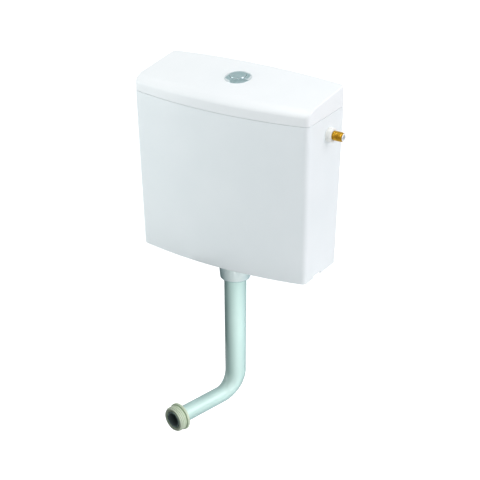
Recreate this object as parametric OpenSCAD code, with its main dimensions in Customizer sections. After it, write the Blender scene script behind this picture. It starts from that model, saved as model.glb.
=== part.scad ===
// Wall-hung low-level toilet cistern with a two-button flush valve, a side
// fill valve and a flush bend. Millimetres, +Z up, front towards -Y.
// The origin is midway between the two wall fixings, on the wall plane.

/* [Tank] */
// Width across the rim
tank_w = 440; // [400:5:500]
// Depth of the side walls at the rim
side_d = 156; // [140:2:190]
// How far the bowed front stands out past the side walls
bow = 26; // [14:1:36]
// Height from the bottom edge to the rim
tank_h = 372; // [340:2:420]
// Height of the rim above the wall fixings
rim_up = 60; // [50:1:72]
// Upright band under the rim, above the draft
band_h = 25; // [15:1:32]
// How far each side comes in at the bottom
side_draft = 8; // [3:1:14]
// How far the front comes back at the bottom
front_draft = 10; // [4:1:16]
// How far the back comes forward at the bottom
back_draft = 10; // [4:1:16]
// Radius of the upright front corners
front_r = 12; // [8:1:20]
// Radius of the upright back corners
back_r = 9; // [7:1:16]
// Thickness of the walls
wall = 3.5; // [2.5:0.25:5]
// Thickness of the floor
floor_t = 4; // [3:0.5:6]
// Depth of the skirt below the floor
skirt_h = 14; // [13:1:20]
// Radius of the bottom edge of the skirt
foot_r = 2; // [1:0.25:2.25]
// Width of the notch in each side of the skirt
notch_w = 33; // [20:1:45]
// Height of the notch in each side of the skirt
notch_h = 6; // [3:1:10]

/* [Wall fixings] */
// Distance between the two wall screws
fix_span = 220; // [180:5:240]
// Diameter of each screw hole
fix_d = 8; // [6:0.5:10]
// Width of the ribs that stand on the wall
rib_w = 24; // [18:1:32]
// Depth from the wall to the inner face of the screw bosses
boss_d = 8; // [7:0.5:12]

/* [Lid] */
// Height of the lid above the rim, at the middle of its back edge
lid_h = 56; // [48:1:64]
// Forward slope of the top in degrees
lid_fall = 6.6; // [5:0.2:8]
// How far the middle of the top stands above its side edges, at the back
lid_crown = 8.8; // [4:0.1:12]
// Share of that crown that is lost towards the front
crown_fade = 0.45; // [0:0.05:0.9]
// Depth of the steep nose behind the front edge
nose_d = 24; // [16:1:30]
// Drop over the nose
nose_h = 12; // [6:1:14]
// Radius of the top edges
lid_edge = 3; // [2:0.5:5]
// Thickness of the lid
lid_t = 3; // [2.5:0.25:4]
// Depth of the locating lip inside the rim
lip_h = 7; // [4:1:12]
// Thickness of the locating lip
lip_t = 2.5; // [2:0.25:4]
// Clearance between the lip and the tank wall
lip_gap = 1; // [0.5:0.25:2]

/* [Push buttons] */
// Distance of the button from the wall
button_back = 79; // [74:1:84]
// Outer radius of the bright ring
bezel_r = 29; // [27:0.5:34]
// Height of the ring above the lid
bezel_h = 4.8; // [3.5:0.1:6]
// Radius of the pair of buttons
button_r = 17.5; // [17:0.25:18.5]
// Height of the buttons above the lid
button_h = 6.4; // [5.5:0.1:8]
// Distance from the centre forward to the split between the buttons
split_y = 4.5; // [3:0.25:5]
// Clearance round the buttons and between them
button_gap = 0.5; // [0.4:0.05:0.8]
// Travel of each button
press = 8; // [6:0.5:8]
// Radius of the push rods
rod_r = 2.5; // [2:0.1:2.8]
// Sideways distance of each push rod from the middle
rod_x = 9; // [8.5:0.1:9.5]
// Distance of the full-flush rod behind the button centre
full_rod_y = 3; // [2:0.25:5]
// Distance of the half-flush rod in front of the button centre
half_rod_y = 10; // [9.75:0.05:10.5]
// Mean radius of the button springs
spring_r = 4.2; // [3.9:0.1:4.3]
// Radius of the spring wire
wire_r = 0.5; // [0.3:0.05:0.6]
// Turns of each spring
spring_turns = 6; // [4:1:9]

/* [Inlet and fill valve] */
// Distance of the inlet axis from the wall
inlet_back = 69; // [60:1:80]
// Depth of the inlet axis below the rim
inlet_down = 43; // [40:1:50]
// Outer radius of the inlet thread, half of 20.955
inlet_r = 10.4775; // [8.3:0.0005:10.6]
// Bore radius of the inlet shank
inlet_bore = 6; // [5:0.25:7]
// Length of the shank outside the tank
inlet_out = 37; // [30:1:45]
// Outer radius of the inlet nut
inlet_nut_r = 16.5; // [15:0.5:19]
// Thickness of the inlet nut
inlet_nut_t = 12; // [8:1:14]
// Length of the fill valve body
fill_l = 52; // [48:1:60]
// Outer radius of the fill valve body
fill_r = 13; // [12.75:0.25:15]
// Length of the float arm from its pin to the adjuster
arm_l = 60; // [52:1:64]
// Length of the float adjuster below the arm
drop_l = 118; // [105:1:125]
// Radius of the float
float_r = 24; // [18:1:25]
// Height of the float
float_h = 70; // [50:1:75]
// Droop of the float arm when the tank is empty, in degrees
float_droop = 25; // [15:1:25]

/* [Flush valve] */
// Distance of the outlet axis from the wall
outlet_back = 94; // [90:1:97]
// Outer radius of the threaded tail, half of 59.6
tail_r = 29.8; // [29:0.1:32]
// Length of the tail below the floor
tail_l = 56; // [50:1:70]
// Outer radius of the valve flange
flange_r = 42; // [40:0.5:46]
// Height of the valve seat above the flange
seat_h = 14; // [10:1:20]
// Outer radius of the overflow tube
tube_r = 15; // [13:0.5:16]
// Wall of the overflow tube
tube_t = 2; // [1.5:0.25:2.5]
// Height of the overflow above the floor
overflow_h = 184; // [175:1:200]
// Height of the half-flush ports above the floor
port_up = 103; // [95:1:110]
// Depth of the top of the tower below the rim
tower_down = 60; // [56:1:66]
// Arm length of the rockers each side of their pins
rocker_l = 16; // [16:0.5:18]

/* [Flush bend] */
// Outer radius of the pipe at the top
pipe_r = 25.5; // [23:0.25:26]
// Outer radius of the pipe where the bend starts
pipe_mid_r = 24; // [20:0.25:25]
// Outer radius of the lower leg
leg_r = 18.8; // [15:0.2:20]
// Wall of the pipe
pipe_t = 2.2; // [1.5:0.1:3]
// Height of the tank's bottom edge above the corner of the bend
bend_down = 344.5; // [280:0.5:420]
// Centre-line radius of the bend
bend_r = 52; // [44:1:70]
// Length of the lower leg from the corner to its end
leg_l = 196; // [150:1:260]
// Fall of the lower leg in degrees
leg_fall = 3; // [0:0.5:8]
// Turn of the lower leg to the left in degrees
leg_turn = 15.2; // [0:0.2:40]
// Outer radius of the coupling nut at its top
nut_r = 37; // [36:0.5:41]
// Height of the coupling nut
nut_h = 38; // [32:1:45]
// Outer radius of the pan connector's ribs
cone_r = 29.4; // [27:0.2:33]
// Outer radius of the pan connector's back flange
cone_flange_r = 32; // [30:0.5:36]
// Length of the pan connector
cone_l = 25; // [20:1:34]

/* [Clearances] */
// Gap round a piece that slides or turns in a wide hole
slip = 0.35; // [0.3:0.05:0.5]
// Gap round a pivot pin
pin_gap = 0.05; // [0.02:0.01:0.1]
// Gap round a piece that is screwed or pushed into another
snug = 0.1; // [0.05:0.05:0.2]
// Gap left where a moving piece waits on another
touch = 0.3; // [0.2:0.05:0.4]

/* [Hidden] */
$fn = 64;

// Levels of the tank
rim_z = rim_up;
foot_z = rim_z - tank_h;
band_z = rim_z - band_h;
under_z = foot_z + skirt_h;
floor_z = under_z + floor_t;
half_w = tank_w / 2;
bow_r = (half_w * half_w + bow * bow) / (2 * bow);
over = 1; // cutters run this far past the faces they cut
bow_steps = 28;
corner_steps = 5;

// Share of the draft that is left at a height, 1 at the rim and 0 at the foot
function upright(z) = min(1, (z - foot_z) / (band_z - foot_z));

// One bow-fronted outline, anticlockwise from the left end of the bow
function arc_points(c, r, from, to, steps) =
    [for (i = [1:steps]) let (a = from + (to - from) * i / steps) [c[0] + r * cos(a), c[1] + r * sin(a)]];
function line_points(from, to, steps) = [for (i = [1:steps]) from + (to - from) * i / steps];
function bow_front(hw, back, front, br, fr, rr, side_steps, back_steps) =
    let (cy = front + br)
    let (lean = asin((hw - fr) / (br - fr)))
    let (ky = cy - (br - fr) * cos(lean))
    concat(
        arc_points([0, cy], br, -90 - lean, -90 + lean, bow_steps),
        arc_points([hw - fr, ky], fr, -90 + lean, 0, corner_steps),
        line_points([hw, ky], [hw, back - rr], side_steps),
        arc_points([hw - rr, back - rr], rr, 0, 90, corner_steps),
        line_points([hw - rr, back], [rr - hw, back], back_steps),
        arc_points([rr - hw, back - rr], rr, 90, 180, corner_steps),
        line_points([-hw, back - rr], [-hw, ky], side_steps),
        arc_points([fr - hw, ky], fr, 180, 270 - lean, corner_steps)
    );

// The tank's outline at a height, drawn in by inset
function tank_outline(z, inset, side_steps = 1, back_steps = 1) =
    let (in = 1 - upright(z))
    bow_front(
        half_w - side_draft * in - inset,
        -back_draft * in - inset,
        -side_d - bow + front_draft * in + inset,
        bow_r - inset,
        max(front_r - inset, 2),
        max(back_r - inset, 2),
        side_steps,
        back_steps
    );
function at_height(outline, z) = [for (p = outline) [p[0], p[1], z]];

// A closed solid through rings of equal count, from the lowest to the highest
module skin(rings) {
    n = len(rings[0]);
    m = len(rings);
    polyhedron(
        points = [for (r = rings) each r],
        faces = concat(
            [[for (i = [0:n - 1]) i]],
            [for (k = [0:m - 2], i = [0:n - 1]) [k * n + i, (k + 1) * n + i, (k + 1) * n + (i + 1) % n]],
            [for (k = [0:m - 2], i = [0:n - 1]) [k * n + i, (k + 1) * n + (i + 1) % n, k * n + (i + 1) % n]],
            [[for (i = [n - 1:-1:0]) (m - 1) * n + i]]
        )
    );
}
// A closed solid through rings that ends in one top point
module domed_skin(rings, top) {
    n = len(rings[0]);
    m = len(rings);
    polyhedron(
        points = concat([for (r = rings) each r], [top]),
        faces = concat(
            [[for (i = [0:n - 1]) i]],
            [for (k = [0:m - 2], i = [0:n - 1]) [k * n + i, (k + 1) * n + i, (k + 1) * n + (i + 1) % n]],
            [for (k = [0:m - 2], i = [0:n - 1]) [k * n + i, (k + 1) * n + (i + 1) % n, k * n + (i + 1) % n]],
            [for (i = [0:n - 1]) [(m - 1) * n + i, m * n, (m - 1) * n + (i + 1) % n]]
        )
    );
}
// A ring with square edges between two radii and two heights
module ring(r_in, r_out, z_low, z_high) {
    rotate_extrude() translate([r_in, z_low]) square([r_out - r_in, z_high - z_low]);
}
// A box from one corner to the opposite one
module block(low, high) {
    translate(low) cube(high - low);
}
// A cylinder along X between two places
module bar_along_x(r, x_low, x_high) {
    translate([x_low, 0, 0]) rotate([0, 90, 0]) cylinder(r = r, h = x_high - x_low);
}
// A cylinder along Y between two places
module bar_along_y(r, y_low, y_high) {
    translate([0, y_low, 0]) rotate([-90, 0, 0]) cylinder(r = r, h = y_high - y_low);
}

// Inlet seat: flat faces on both sides of the drafted right-hand wall
inlet_z = rim_z - inlet_down;
seat_pad = 0.6; // how far each flat seat stands out of the drafted wall
seat_pad_r = inlet_nut_r + 3;
inlet_wall_x = half_w - side_draft * (1 - upright(inlet_z));
inlet_face_x = inlet_wall_x + seat_pad;
inlet_back_x = inlet_wall_x - wall - seat_pad;
outlet_hole_r = tail_r + 1.2;
inlet_hole_r = inlet_r + 0.5;

module tank() {
    color("whitesmoke")
    difference() {
        union() {
            difference() {
                skin([
                    for (a = [0:30:90]) let (z = foot_z + foot_r * (1 - cos(a)))
                        at_height(tank_outline(z, foot_r * (1 - sin(a))), z),
                    at_height(tank_outline(band_z, 0), band_z),
                    at_height(tank_outline(rim_z, 0), rim_z)
                ]);
                skin([
                    for (z = [floor_z, band_z, rim_z + over]) at_height(tank_outline(z, wall), z)
                ]);
                skin([
                    for (z = [foot_z - over, under_z]) at_height(tank_outline(z, wall), z)
                ]);
            }
            for (side = [-1, 1]) {
                wall_rib(side * fix_span / 2);
                translate([side * fix_span / 2, 0, 0]) bar_along_y(rib_w / 2, -boss_d, -wall / 2);
            }
            translate([0, -inlet_back, inlet_z])
                bar_along_x(seat_pad_r, inlet_back_x, inlet_face_x);
        }
        for (side = [-1, 1]) {
            translate([side * fix_span / 2, 0, 0]) bar_along_y(fix_d / 2, -boss_d - over, over);
        }
        translate([0, -inlet_back, inlet_z])
            bar_along_x(inlet_hole_r, inlet_back_x - over, inlet_face_x + over);
        translate([0, -outlet_back, under_z - over])
            cylinder(r = outlet_hole_r, h = floor_t + 2 * over);
        block(
            [-half_w, -outlet_back - notch_w / 2, foot_z - over],
            [half_w, -outlet_back + notch_w / 2, foot_z + notch_h]
        );
    }
}
// Rib on the back that stays on the wall plane where the back is drafted
module wall_rib(x) {
    sunk = wall / 2;
    low = foot_z + foot_r + over;
    translate([x - rib_w / 2, 0, 0]) rotate([90, 0, 90]) linear_extrude(rib_w)
        polygon([
            [0, band_z],
            [-sunk, band_z],
            [-sunk - back_draft * (1 - upright(low)), low],
            [0, low]
        ]);
}

// Height of the lid's top over a place in plan
function nose_drop(x, y) =
    let (cy = bow_r - side_d - bow)
    let (deep = bow_r - norm([x, y - cy]))
    deep < nose_d ? nose_h * pow(1 - max(deep, 0) / nose_d, 2) : 0;
function lid_top(x, y) =
    rim_z + lid_h + y * tan(lid_fall)
    - lid_crown * (1 + crown_fade * y / side_d) * pow(x / half_w, 2)
    - nose_drop(x, y);
function lid_outline(inset) = tank_outline(rim_z, inset, 5, 14);
function draped(outline, down) = [for (p = outline) [p[0], p[1], lid_top(p[0], p[1]) - down]];
function drawn_in(outline, share) =
    [for (p = outline) [p[0] * share, lid_mid_y + (p[1] - lid_mid_y) * share]];
lid_mid_y = -(side_d + bow) / 2;
lid_rings = [nose_d / 3, nose_d * 2 / 3, nose_d, nose_d * 1.6, nose_d * 2.4];
lid_inner = lid_outline(nose_d * 2.4);
crown_shares = [0.8, 0.6, 0.4, 0.2]; // inner rings of the crown, as shares of the last ring

module lid() {
    color("white")
    difference() {
        union() {
            difference() {
                domed_skin(
                    concat(
                        [at_height(lid_outline(0), rim_z)],
                        [for (a = [0:30:90])
                            draped(lid_outline(lid_edge * (1 - cos(a))), lid_edge * (1 - sin(a)))],
                        [for (inset = lid_rings) draped(lid_outline(inset), 0)],
                        [for (share = crown_shares) draped(drawn_in(lid_inner, share), 0)]
                    ),
                    [0, lid_mid_y, lid_top(0, lid_mid_y)]
                );
                domed_skin(
                    concat(
                        [at_height(lid_outline(lid_t), rim_z - over)],
                        [draped(lid_outline(lid_t), lid_t + lid_edge)],
                        [for (inset = lid_rings) draped(lid_outline(inset), lid_t)],
                        [for (share = crown_shares) draped(drawn_in(lid_inner, share), lid_t)]
                    ),
                    [0, lid_mid_y, lid_top(0, lid_mid_y) - lid_t]
                );
            }
            locating_lip();
        }
        button_frame() translate([0, 0, -lid_t - lid_crown]) cylinder(r = lid_hole_r, h = lid_crown * 2);
        button_frame() translate([0, 0, -bezel_sink]) cylinder(r = bezel_r + snug, h = lid_crown);
    }
}
// Lip that drops inside the rim, on a ledge that joins it to the lid's wall
module locating_lip() {
    lip_in = wall + lip_gap;
    ledge_h = 4;
    difference() {
        union() {
            skin([for (z = [rim_z, rim_z + ledge_h]) at_height(tank_outline(rim_z, lid_t / 2), z)]);
            skin([for (z = [rim_z - lip_h, rim_z + over]) at_height(tank_outline(rim_z, lip_in), z)]);
        }
        skin([
            for (z = [rim_z - lip_h - over, rim_z + ledge_h + over])
                at_height(tank_outline(rim_z, lip_in + lip_t), z)
        ]);
    }
}

// The buttons' own frame: on the lid's top, square to its slope
button_z = lid_top(0, -button_back);
bezel_sink = 0.4; // depth of the flat seat that the ring lies in
barrel_t = 2.1;
barrel_r = button_r + button_gap + 1.2;
barrel_out_r = barrel_r + barrel_t;
lid_hole_r = barrel_out_r + slip;
barrel_l = 27;
barrel_floor = 3;
button_t = 10;
button_low = button_h - button_t;
spring_low = barrel_floor - barrel_l;
module button_frame() {
    translate([0, -button_back, button_z]) rotate([lid_fall, 0, 0]) children();
}

module button_bezel() {
    lip_r = button_r + button_gap;
    brow = 1.5; // width of the flat crest inside the domed ring
    skirt = 0.8; // upright edge of the ring above the lid
    dome = [bezel_r - lip_r - brow, bezel_h - skirt];
    color("silver")
    button_frame()
    difference() {
        rotate_extrude() polygon(concat(
            [[0, -barrel_l], [barrel_out_r, -barrel_l], [barrel_out_r, -bezel_sink], [bezel_r, -bezel_sink]],
            [for (a = [0:15:90]) [lip_r + brow + dome[0] * cos(a), skirt + dome[1] * sin(a)]],
            [[lip_r, bezel_h - skirt / 2], [lip_r, -lid_t], [barrel_r, -lid_t - over]],
            [[barrel_r, spring_low], [0, spring_low]]
        ));
        for (p = [[rod_x, full_rod_y], [-rod_x, -half_rod_y]]) {
            translate([p[0], p[1], -barrel_l - over])
                cylinder(r = rod_r + slip, h = barrel_floor + 2 * over);
        }
    }
}
module bezel_locknut() {
    nut_t = 8;
    seat = lid_t + touch;
    color("white")
    button_frame()
    union() {
        ring(barrel_out_r + snug, bezel_r - over, -seat - nut_t, -seat);
        for (a = [15:60:315]) {
            rotate(a) block([barrel_out_r + 2, -2.5, 1 - seat - nut_t], [bezel_r + over, 2.5, -seat - 1]);
        }
    }
}
// One button: a slice of the disc behind or in front of the split
module button_slice(low, high) {
    intersection() {
        translate([0, 0, button_low]) cylinder(r = button_r, h = button_t);
        block([-button_r, low, button_low - over], [button_r, high, button_h + over]);
    }
}
socket_d = 6; // depth of the socket that takes the end of a push rod
module full_flush_button() {
    color("silver")
    button_frame()
    difference() {
        button_slice(button_gap / 2 - split_y, button_r);
        translate([rod_x, full_rod_y, button_low - over])
            cylinder(r = rod_r + snug, h = socket_d + over);
    }
}
module half_flush_button() {
    color("silver")
    button_frame()
    difference() {
        button_slice(-button_r, -split_y - button_gap / 2);
        translate([-rod_x, -half_rod_y, button_low - over])
            cylinder(r = rod_r + snug, h = socket_d + over);
    }
}

// Push rods reach down the buttons' own slope to the rockers
top_z = rim_z - tower_down;
rocker_t = 5;
pivot_z = top_z + 12;
pad_z = pivot_z + rocker_t / 2;
function rod_end(y) = (pad_z + touch - button_z - y * sin(lid_fall)) / cos(lid_fall);
function rod_foot_y(y) = y * cos(lid_fall) - rod_end(y) * sin(lid_fall) - button_back;
module push_rod(x, y) {
    low = rod_end(y);
    color("lightgray")
    button_frame()
    translate([x, y, low]) {
        translate([0, 0, rod_r]) sphere(r = rod_r);
        translate([0, 0, rod_r]) cylinder(r = rod_r, h = button_low + socket_d - low - rod_r);
    }
}
module full_flush_rod() {
    push_rod(rod_x, full_rod_y);
}
module half_flush_rod() {
    push_rod(-rod_x, -half_rod_y);
}
// Coil between the floor of the ring and the underside of a button
module button_spring(x, y) {
    steps = 10;
    sides = 6;
    length = button_low - spring_low - 2 * (wire_r + touch / 2);
    count = spring_turns * steps;
    color("gray")
    button_frame()
    translate([x, y, spring_low + wire_r + touch / 2])
    skin([
        for (i = [0:count]) let (a = -360 * i / steps)
            [for (k = [0:sides - 1]) let (b = 360 * k / sides) [
                (spring_r + wire_r * cos(b)) * cos(a),
                (spring_r + wire_r * cos(b)) * sin(a),
                length * i / count + wire_r * sin(b)
            ]]
    ]);
}
module full_button_spring() {
    button_spring(rod_x, full_rod_y);
}
module half_button_spring() {
    button_spring(-rod_x, -half_rod_y);
}

// Rockers turn on pins across X; the back end is pressed and the front end lifts
rocker_w = 6;
ear_t = 1.8;
rocker_pin_r = 2;
full_pin_y = rod_foot_y(full_rod_y) - rocker_l;
half_pin_y = rod_foot_y(-half_rod_y) - rocker_l;
module rocker(x, y) {
    end_l = rocker_l + rod_r + 0.5;
    color("lightsteelblue")
    translate([x, y, pivot_z])
    difference() {
        union() {
            block([-rocker_w / 2, -rocker_l, -rocker_t / 2], [rocker_w / 2, end_l, rocker_t / 2]);
            bar_along_x(rocker_t / 2 + 1, -rocker_w / 2, rocker_w / 2);
        }
        bar_along_x(rocker_pin_r + pin_gap, -rocker_w, rocker_w);
    }
}
module full_flush_rocker() {
    rocker(rod_x, full_pin_y);
}
module half_flush_rocker() {
    rocker(-rod_x, half_pin_y);
}
ear_in = rocker_w / 2 + touch;
module rocker_pins() {
    color("dimgray")
    for (p = [[rod_x, full_pin_y], [-rod_x, half_pin_y]]) {
        translate([p[0], p[1], pivot_z]) bar_along_x(rocker_pin_r, -ear_in - ear_t, ear_in + ear_t);
    }
}

// Flush valve on the outlet axis
gasket_t = 3;
flange_t = 5;
flange_low = floor_z + gasket_t;
flange_z = flange_low + flange_t;
seat_z = flange_z + seat_h;
tail_z = under_z - tail_l;
tail_bore = pipe_r + slip;
module on_outlet() {
    translate([0, -outlet_back, 0]) children();
}
module flush_valve_base() {
    seat_out_r = tail_bore + 4;
    color("gainsboro")
    on_outlet()
    rotate_extrude() polygon([
        [tail_bore, tail_z], [tail_r, tail_z], [tail_r, flange_low], [flange_r, flange_low],
        [flange_r, flange_z], [seat_out_r, flange_z], [seat_out_r, seat_z - 1],
        [seat_out_r - 1, seat_z], [tail_bore, seat_z]
    ]);
}
module outlet_gasket() {
    color("black")
    on_outlet() ring(tail_r + snug, flange_r, floor_z, flange_low);
}
backnut_h = 12;
module outlet_backnut() {
    grips = 8;
    color("white")
    on_outlet()
    union() {
        ring(tail_r + snug, flange_r - 3, under_z - backnut_h, under_z);
        for (i = [0:grips - 1]) {
            rotate(360 * i / grips)
                block([flange_r - 4, -3, under_z - backnut_h], [flange_r + 1, 3, under_z]);
        }
    }
}
seal_t = 4;
seal_r = tail_bore + 5.6;
tube_foot_z = seat_z - 8;
tube_top_z = floor_z + overflow_h;
sleeve_z = floor_z + port_up;
sleeve_h = 25;
sleeve_t = 3.2;
shoulder_h = 3;
port_h = 6;
port_low = 3; // height of the ports above the sleeve's lower edge
module overflow_tube() {
    flange_r_in = tail_bore + 4;
    ports = 4;
    color("aliceblue")
    on_outlet()
    difference() {
        union() {
            ring(tube_r - tube_t, tube_r, tube_foot_z, tube_top_z);
            ring(tube_r - tube_t / 2, flange_r_in, seat_z + seal_t, seat_z + 2 * seal_t);
            ring(tube_r - tube_t / 2, tube_r + sleeve_t + slip, sleeve_z - shoulder_h, sleeve_z);
        }
        for (i = [0:ports - 1]) {
            rotate(360 * i / ports + 45)
                block([0, -5, sleeve_z + port_low], [tube_r + over, 5, sleeve_z + port_low + port_h]);
        }
    }
}
module flush_seal() {
    color("darkslategray")
    on_outlet() ring(tube_r + snug, seal_r, seat_z, seat_z + seal_t);
}
module seal_retainer() {
    color("lightgray")
    on_outlet() ring(tube_r + snug, tail_bore - 3, seat_z - seal_t, seat_z);
}
// The lift rod stands in a spider in the mouth of the overflow tube
lift_r = 3;
head_t = 4;
lift_head_z = pad_z + touch;
module lift_rod() {
    spider_h = 8;
    spider_r = tube_r - tube_t - snug;
    color("lightsteelblue")
    on_outlet()
    union() {
        translate([0, 0, tube_top_z - spider_h])
            cylinder(r = lift_r, h = lift_head_z + head_t - tube_top_z + spider_h);
        ring(spider_r - 2, spider_r, tube_top_z - spider_h, tube_top_z);
        for (a = [0, 90]) {
            rotate(a) block([1 - spider_r, -1.5, tube_top_z - spider_h], [spider_r - 1, 1.5, tube_top_z]);
        }
        block(
            [-lift_r, full_pin_y + outlet_back - rocker_l - 4, lift_head_z],
            [rod_x + rocker_w / 2, max(lift_r, full_pin_y + outlet_back - rocker_l + 4), lift_head_z + head_t]
        );
    }
}
// Sleeve that covers the half-flush ports, with its own stem and head
stem_r = 2.5;
stem_y = half_pin_y + outlet_back - rocker_l - stem_r - 2;
module half_flush_sleeve() {
    sleeve_r = tube_r + slip;
    lug_h = 6;
    color("lightblue")
    on_outlet()
    union() {
        ring(sleeve_r, sleeve_r + sleeve_t, sleeve_z, sleeve_z + sleeve_h);
        difference() {
            block(
                [-rod_x - stem_r - 1, stem_y - stem_r - 1, sleeve_z + sleeve_h - lug_h],
                [-rod_x + stem_r + 1, -sleeve_r / 2, sleeve_z + sleeve_h]
            );
            translate([0, 0, sleeve_z]) cylinder(r = sleeve_r + sleeve_t / 2, h = sleeve_h + over);
        }
        translate([-rod_x, stem_y, sleeve_z + sleeve_h - lug_h])
            cylinder(r = stem_r, h = lift_head_z - sleeve_z - sleeve_h + lug_h + head_t);
        block(
            [-rod_x - rocker_w / 2, stem_y - stem_r - 0.5, lift_head_z],
            [-rod_x + rocker_w / 2, half_pin_y + outlet_back - rocker_l + 4, lift_head_z + head_t]
        );
    }
}
// Tower: a foot ring, two columns, a guide for the tube and a plate with ears
col_t = 8;
col_w = 12;
plate_t = 4;
module flush_valve_tower() {
    foot_t = 5;
    col_in = flange_r - col_t;
    guide_z = tube_top_z - 30;
    guide_t = 5;
    guide_r = tube_r + slip;
    guide_w = 4;
    plate_back = rod_foot_y(full_rod_y) + outlet_back + rod_r + 3;
    plate_front = stem_y - stem_r - 5;
    color("white")
    on_outlet()
    difference() {
        union() {
            ring(col_in, flange_r, flange_z, flange_z + foot_t);
            for (side = [-1, 1]) {
                block(
                    [side * (flange_r - col_t / 2) - col_t / 2, -col_w / 2, flange_z],
                    [side * (flange_r - col_t / 2) + col_t / 2, col_w / 2, top_z]
                );
                block(
                    [min(side * col_in, side * (guide_r + 2)) - 0.5, -guide_t / 2, guide_z],
                    [max(side * col_in, side * (guide_r + 2)) + 0.5, guide_t / 2, guide_z + guide_t]
                );
            }
            ring(guide_r, guide_r + guide_w, guide_z, guide_z + guide_t);
            block([-flange_r, plate_front, top_z - plate_t], [flange_r, plate_back, top_z]);
            rocker_ears(rod_x, full_pin_y + outlet_back);
            rocker_ears(-rod_x, half_pin_y + outlet_back);
        }
        translate([0, 0, top_z - plate_t - over]) cylinder(r = lift_r + slip, h = plate_t + 2 * over);
        translate([-rod_x, stem_y, top_z - plate_t - over])
            cylinder(r = stem_r + slip, h = plate_t + 2 * over);
    }
}
module rocker_ears(x, y) {
    ear_w = 11;
    ear_h = pivot_z - top_z + rocker_pin_r + 2;
    difference() {
        for (side = [-1, 1]) {
            translate([x + side * (ear_in + ear_t / 2), y, top_z + ear_h / 2 - over / 2])
                cube([ear_t, ear_w, ear_h + over], center = true);
        }
        translate([x, y, pivot_z])
            bar_along_x(rocker_pin_r + pin_gap, -ear_in - 2 * ear_t, ear_in + 2 * ear_t);
    }
}

// Inlet and fill valve along X, on the inlet axis
washer_t = 3;
shank_flange_t = 4;
shank_flange_x = inlet_back_x - washer_t - shank_flange_t;
shank_in = 14; // length of the shank inside the valve body
shank_flange_r = inlet_r + 5;
shank_r = inlet_r - 0.2; // the shank is this much thinner where the nut and the valve body hold it
thread_x = inlet_face_x + inlet_nut_t + 0.5; // the free thread starts just past the nut
module on_inlet() {
    translate([0, -inlet_back, inlet_z]) children();
}
module inlet_shank() {
    color("goldenrod")
    on_inlet()
    difference() {
        union() {
            bar_along_x(shank_r, shank_flange_x - shank_in, inlet_wall_x + inlet_out - over);
            bar_along_x(inlet_r, thread_x, inlet_wall_x + inlet_out);
            bar_along_x(shank_flange_r, shank_flange_x, shank_flange_x + shank_flange_t);
        }
        bar_along_x(inlet_bore, shank_flange_x - shank_in - over, inlet_wall_x + inlet_out + over);
    }
}
module inlet_backnut() {
    collar_t = 3;
    color("white")
    on_inlet()
    difference() {
        union() {
            bar_along_x(inlet_nut_r, inlet_face_x, inlet_face_x + collar_t);
            translate([inlet_face_x + collar_t, 0, 0]) rotate([0, 90, 0])
                cylinder(r = inlet_nut_r, h = inlet_nut_t - collar_t, $fn = 8);
        }
        bar_along_x(shank_r + snug, inlet_face_x - over, inlet_face_x + inlet_nut_t + over);
    }
}
module inlet_washer() {
    color("black")
    on_inlet()
    difference() {
        bar_along_x(shank_flange_r, inlet_back_x - washer_t, inlet_back_x);
        bar_along_x(shank_r + snug, inlet_back_x - washer_t - over, inlet_back_x + over);
    }
}
module inlet_filter() {
    filter_l = 16;
    filter_x = inlet_wall_x + inlet_out - 6 - filter_l;
    cup_t = 1.2;
    color("ivory")
    on_inlet()
    difference() {
        bar_along_x(inlet_bore - snug, filter_x, filter_x + filter_l);
        bar_along_x(inlet_bore - snug - cup_t, filter_x + cup_t, filter_x + filter_l + over);
    }
}
fill_end_x = shank_flange_x - touch - fill_l;
dia_t = 3;
stub_x = fill_end_x + 18;
stub_r = 5;
stub_l = 24;
module fill_valve_body() {
    bore = 3.5;
    socket_x = shank_flange_x - shank_in - touch;
    color("white")
    on_inlet()
    difference() {
        union() {
            bar_along_x(fill_r, fill_end_x, shank_flange_x - touch);
            translate([stub_x, 0, -stub_l]) cylinder(r = stub_r, h = stub_l);
        }
        bar_along_x(shank_r + snug, socket_x, shank_flange_x);
        bar_along_x(bore, fill_end_x - over, socket_x + over);
        translate([stub_x, 0, -stub_l - over]) cylinder(r = bore, h = stub_l + over);
    }
}
module fill_valve_diaphragm() {
    color("darkslategray")
    on_inlet() bar_along_x(fill_r - snug, fill_end_x - dia_t, fill_end_x);
}
// Screwed cap with a bush for the plunger and two ears for the float arm
cap_t = 3.5;
cap_gap = 0.1;
cap_end_x = fill_end_x - dia_t - cap_gap - cap_t;
bush_l = 8;
plunger_r = 2.5;
horn_h = 10; // height of the plunger above the arm's pin
horn_face = 1.5; // how far the horn's face lies from the pin, towards the plunger
pin_x = cap_end_x - 12;
arm_w = 8;
arm_pin_r = 2;
arm_ear_t = 2.5;
module fill_valve_cap() {
    cap_r = fill_r + 3;
    skirt_l = 10;
    ear_low = -horn_h - 5;
    ear_high = -horn_h + 5;
    color("white")
    on_inlet()
    difference() {
        union() {
            bar_along_x(cap_r, cap_end_x, fill_end_x + skirt_l);
            bar_along_x(plunger_r + 3.5, cap_end_x - bush_l, cap_end_x + over);
            for (side = [-1, 1]) {
                translate([0, side * (arm_w / 2 + touch + arm_ear_t / 2), 0])
                    block(
                        [pin_x - 5, -arm_ear_t / 2, ear_low],
                        [cap_end_x + over, arm_ear_t / 2, ear_high]
                    );
            }
        }
        bar_along_x(fill_r + snug, fill_end_x - dia_t - cap_gap, fill_end_x + skirt_l + over);
        bar_along_x(plunger_r + pin_gap, cap_end_x - bush_l - over, fill_end_x);
        translate([pin_x, 0, -horn_h])
            bar_along_y(arm_pin_r + pin_gap, -arm_w - arm_ear_t, arm_w + arm_ear_t);
    }
}
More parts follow.
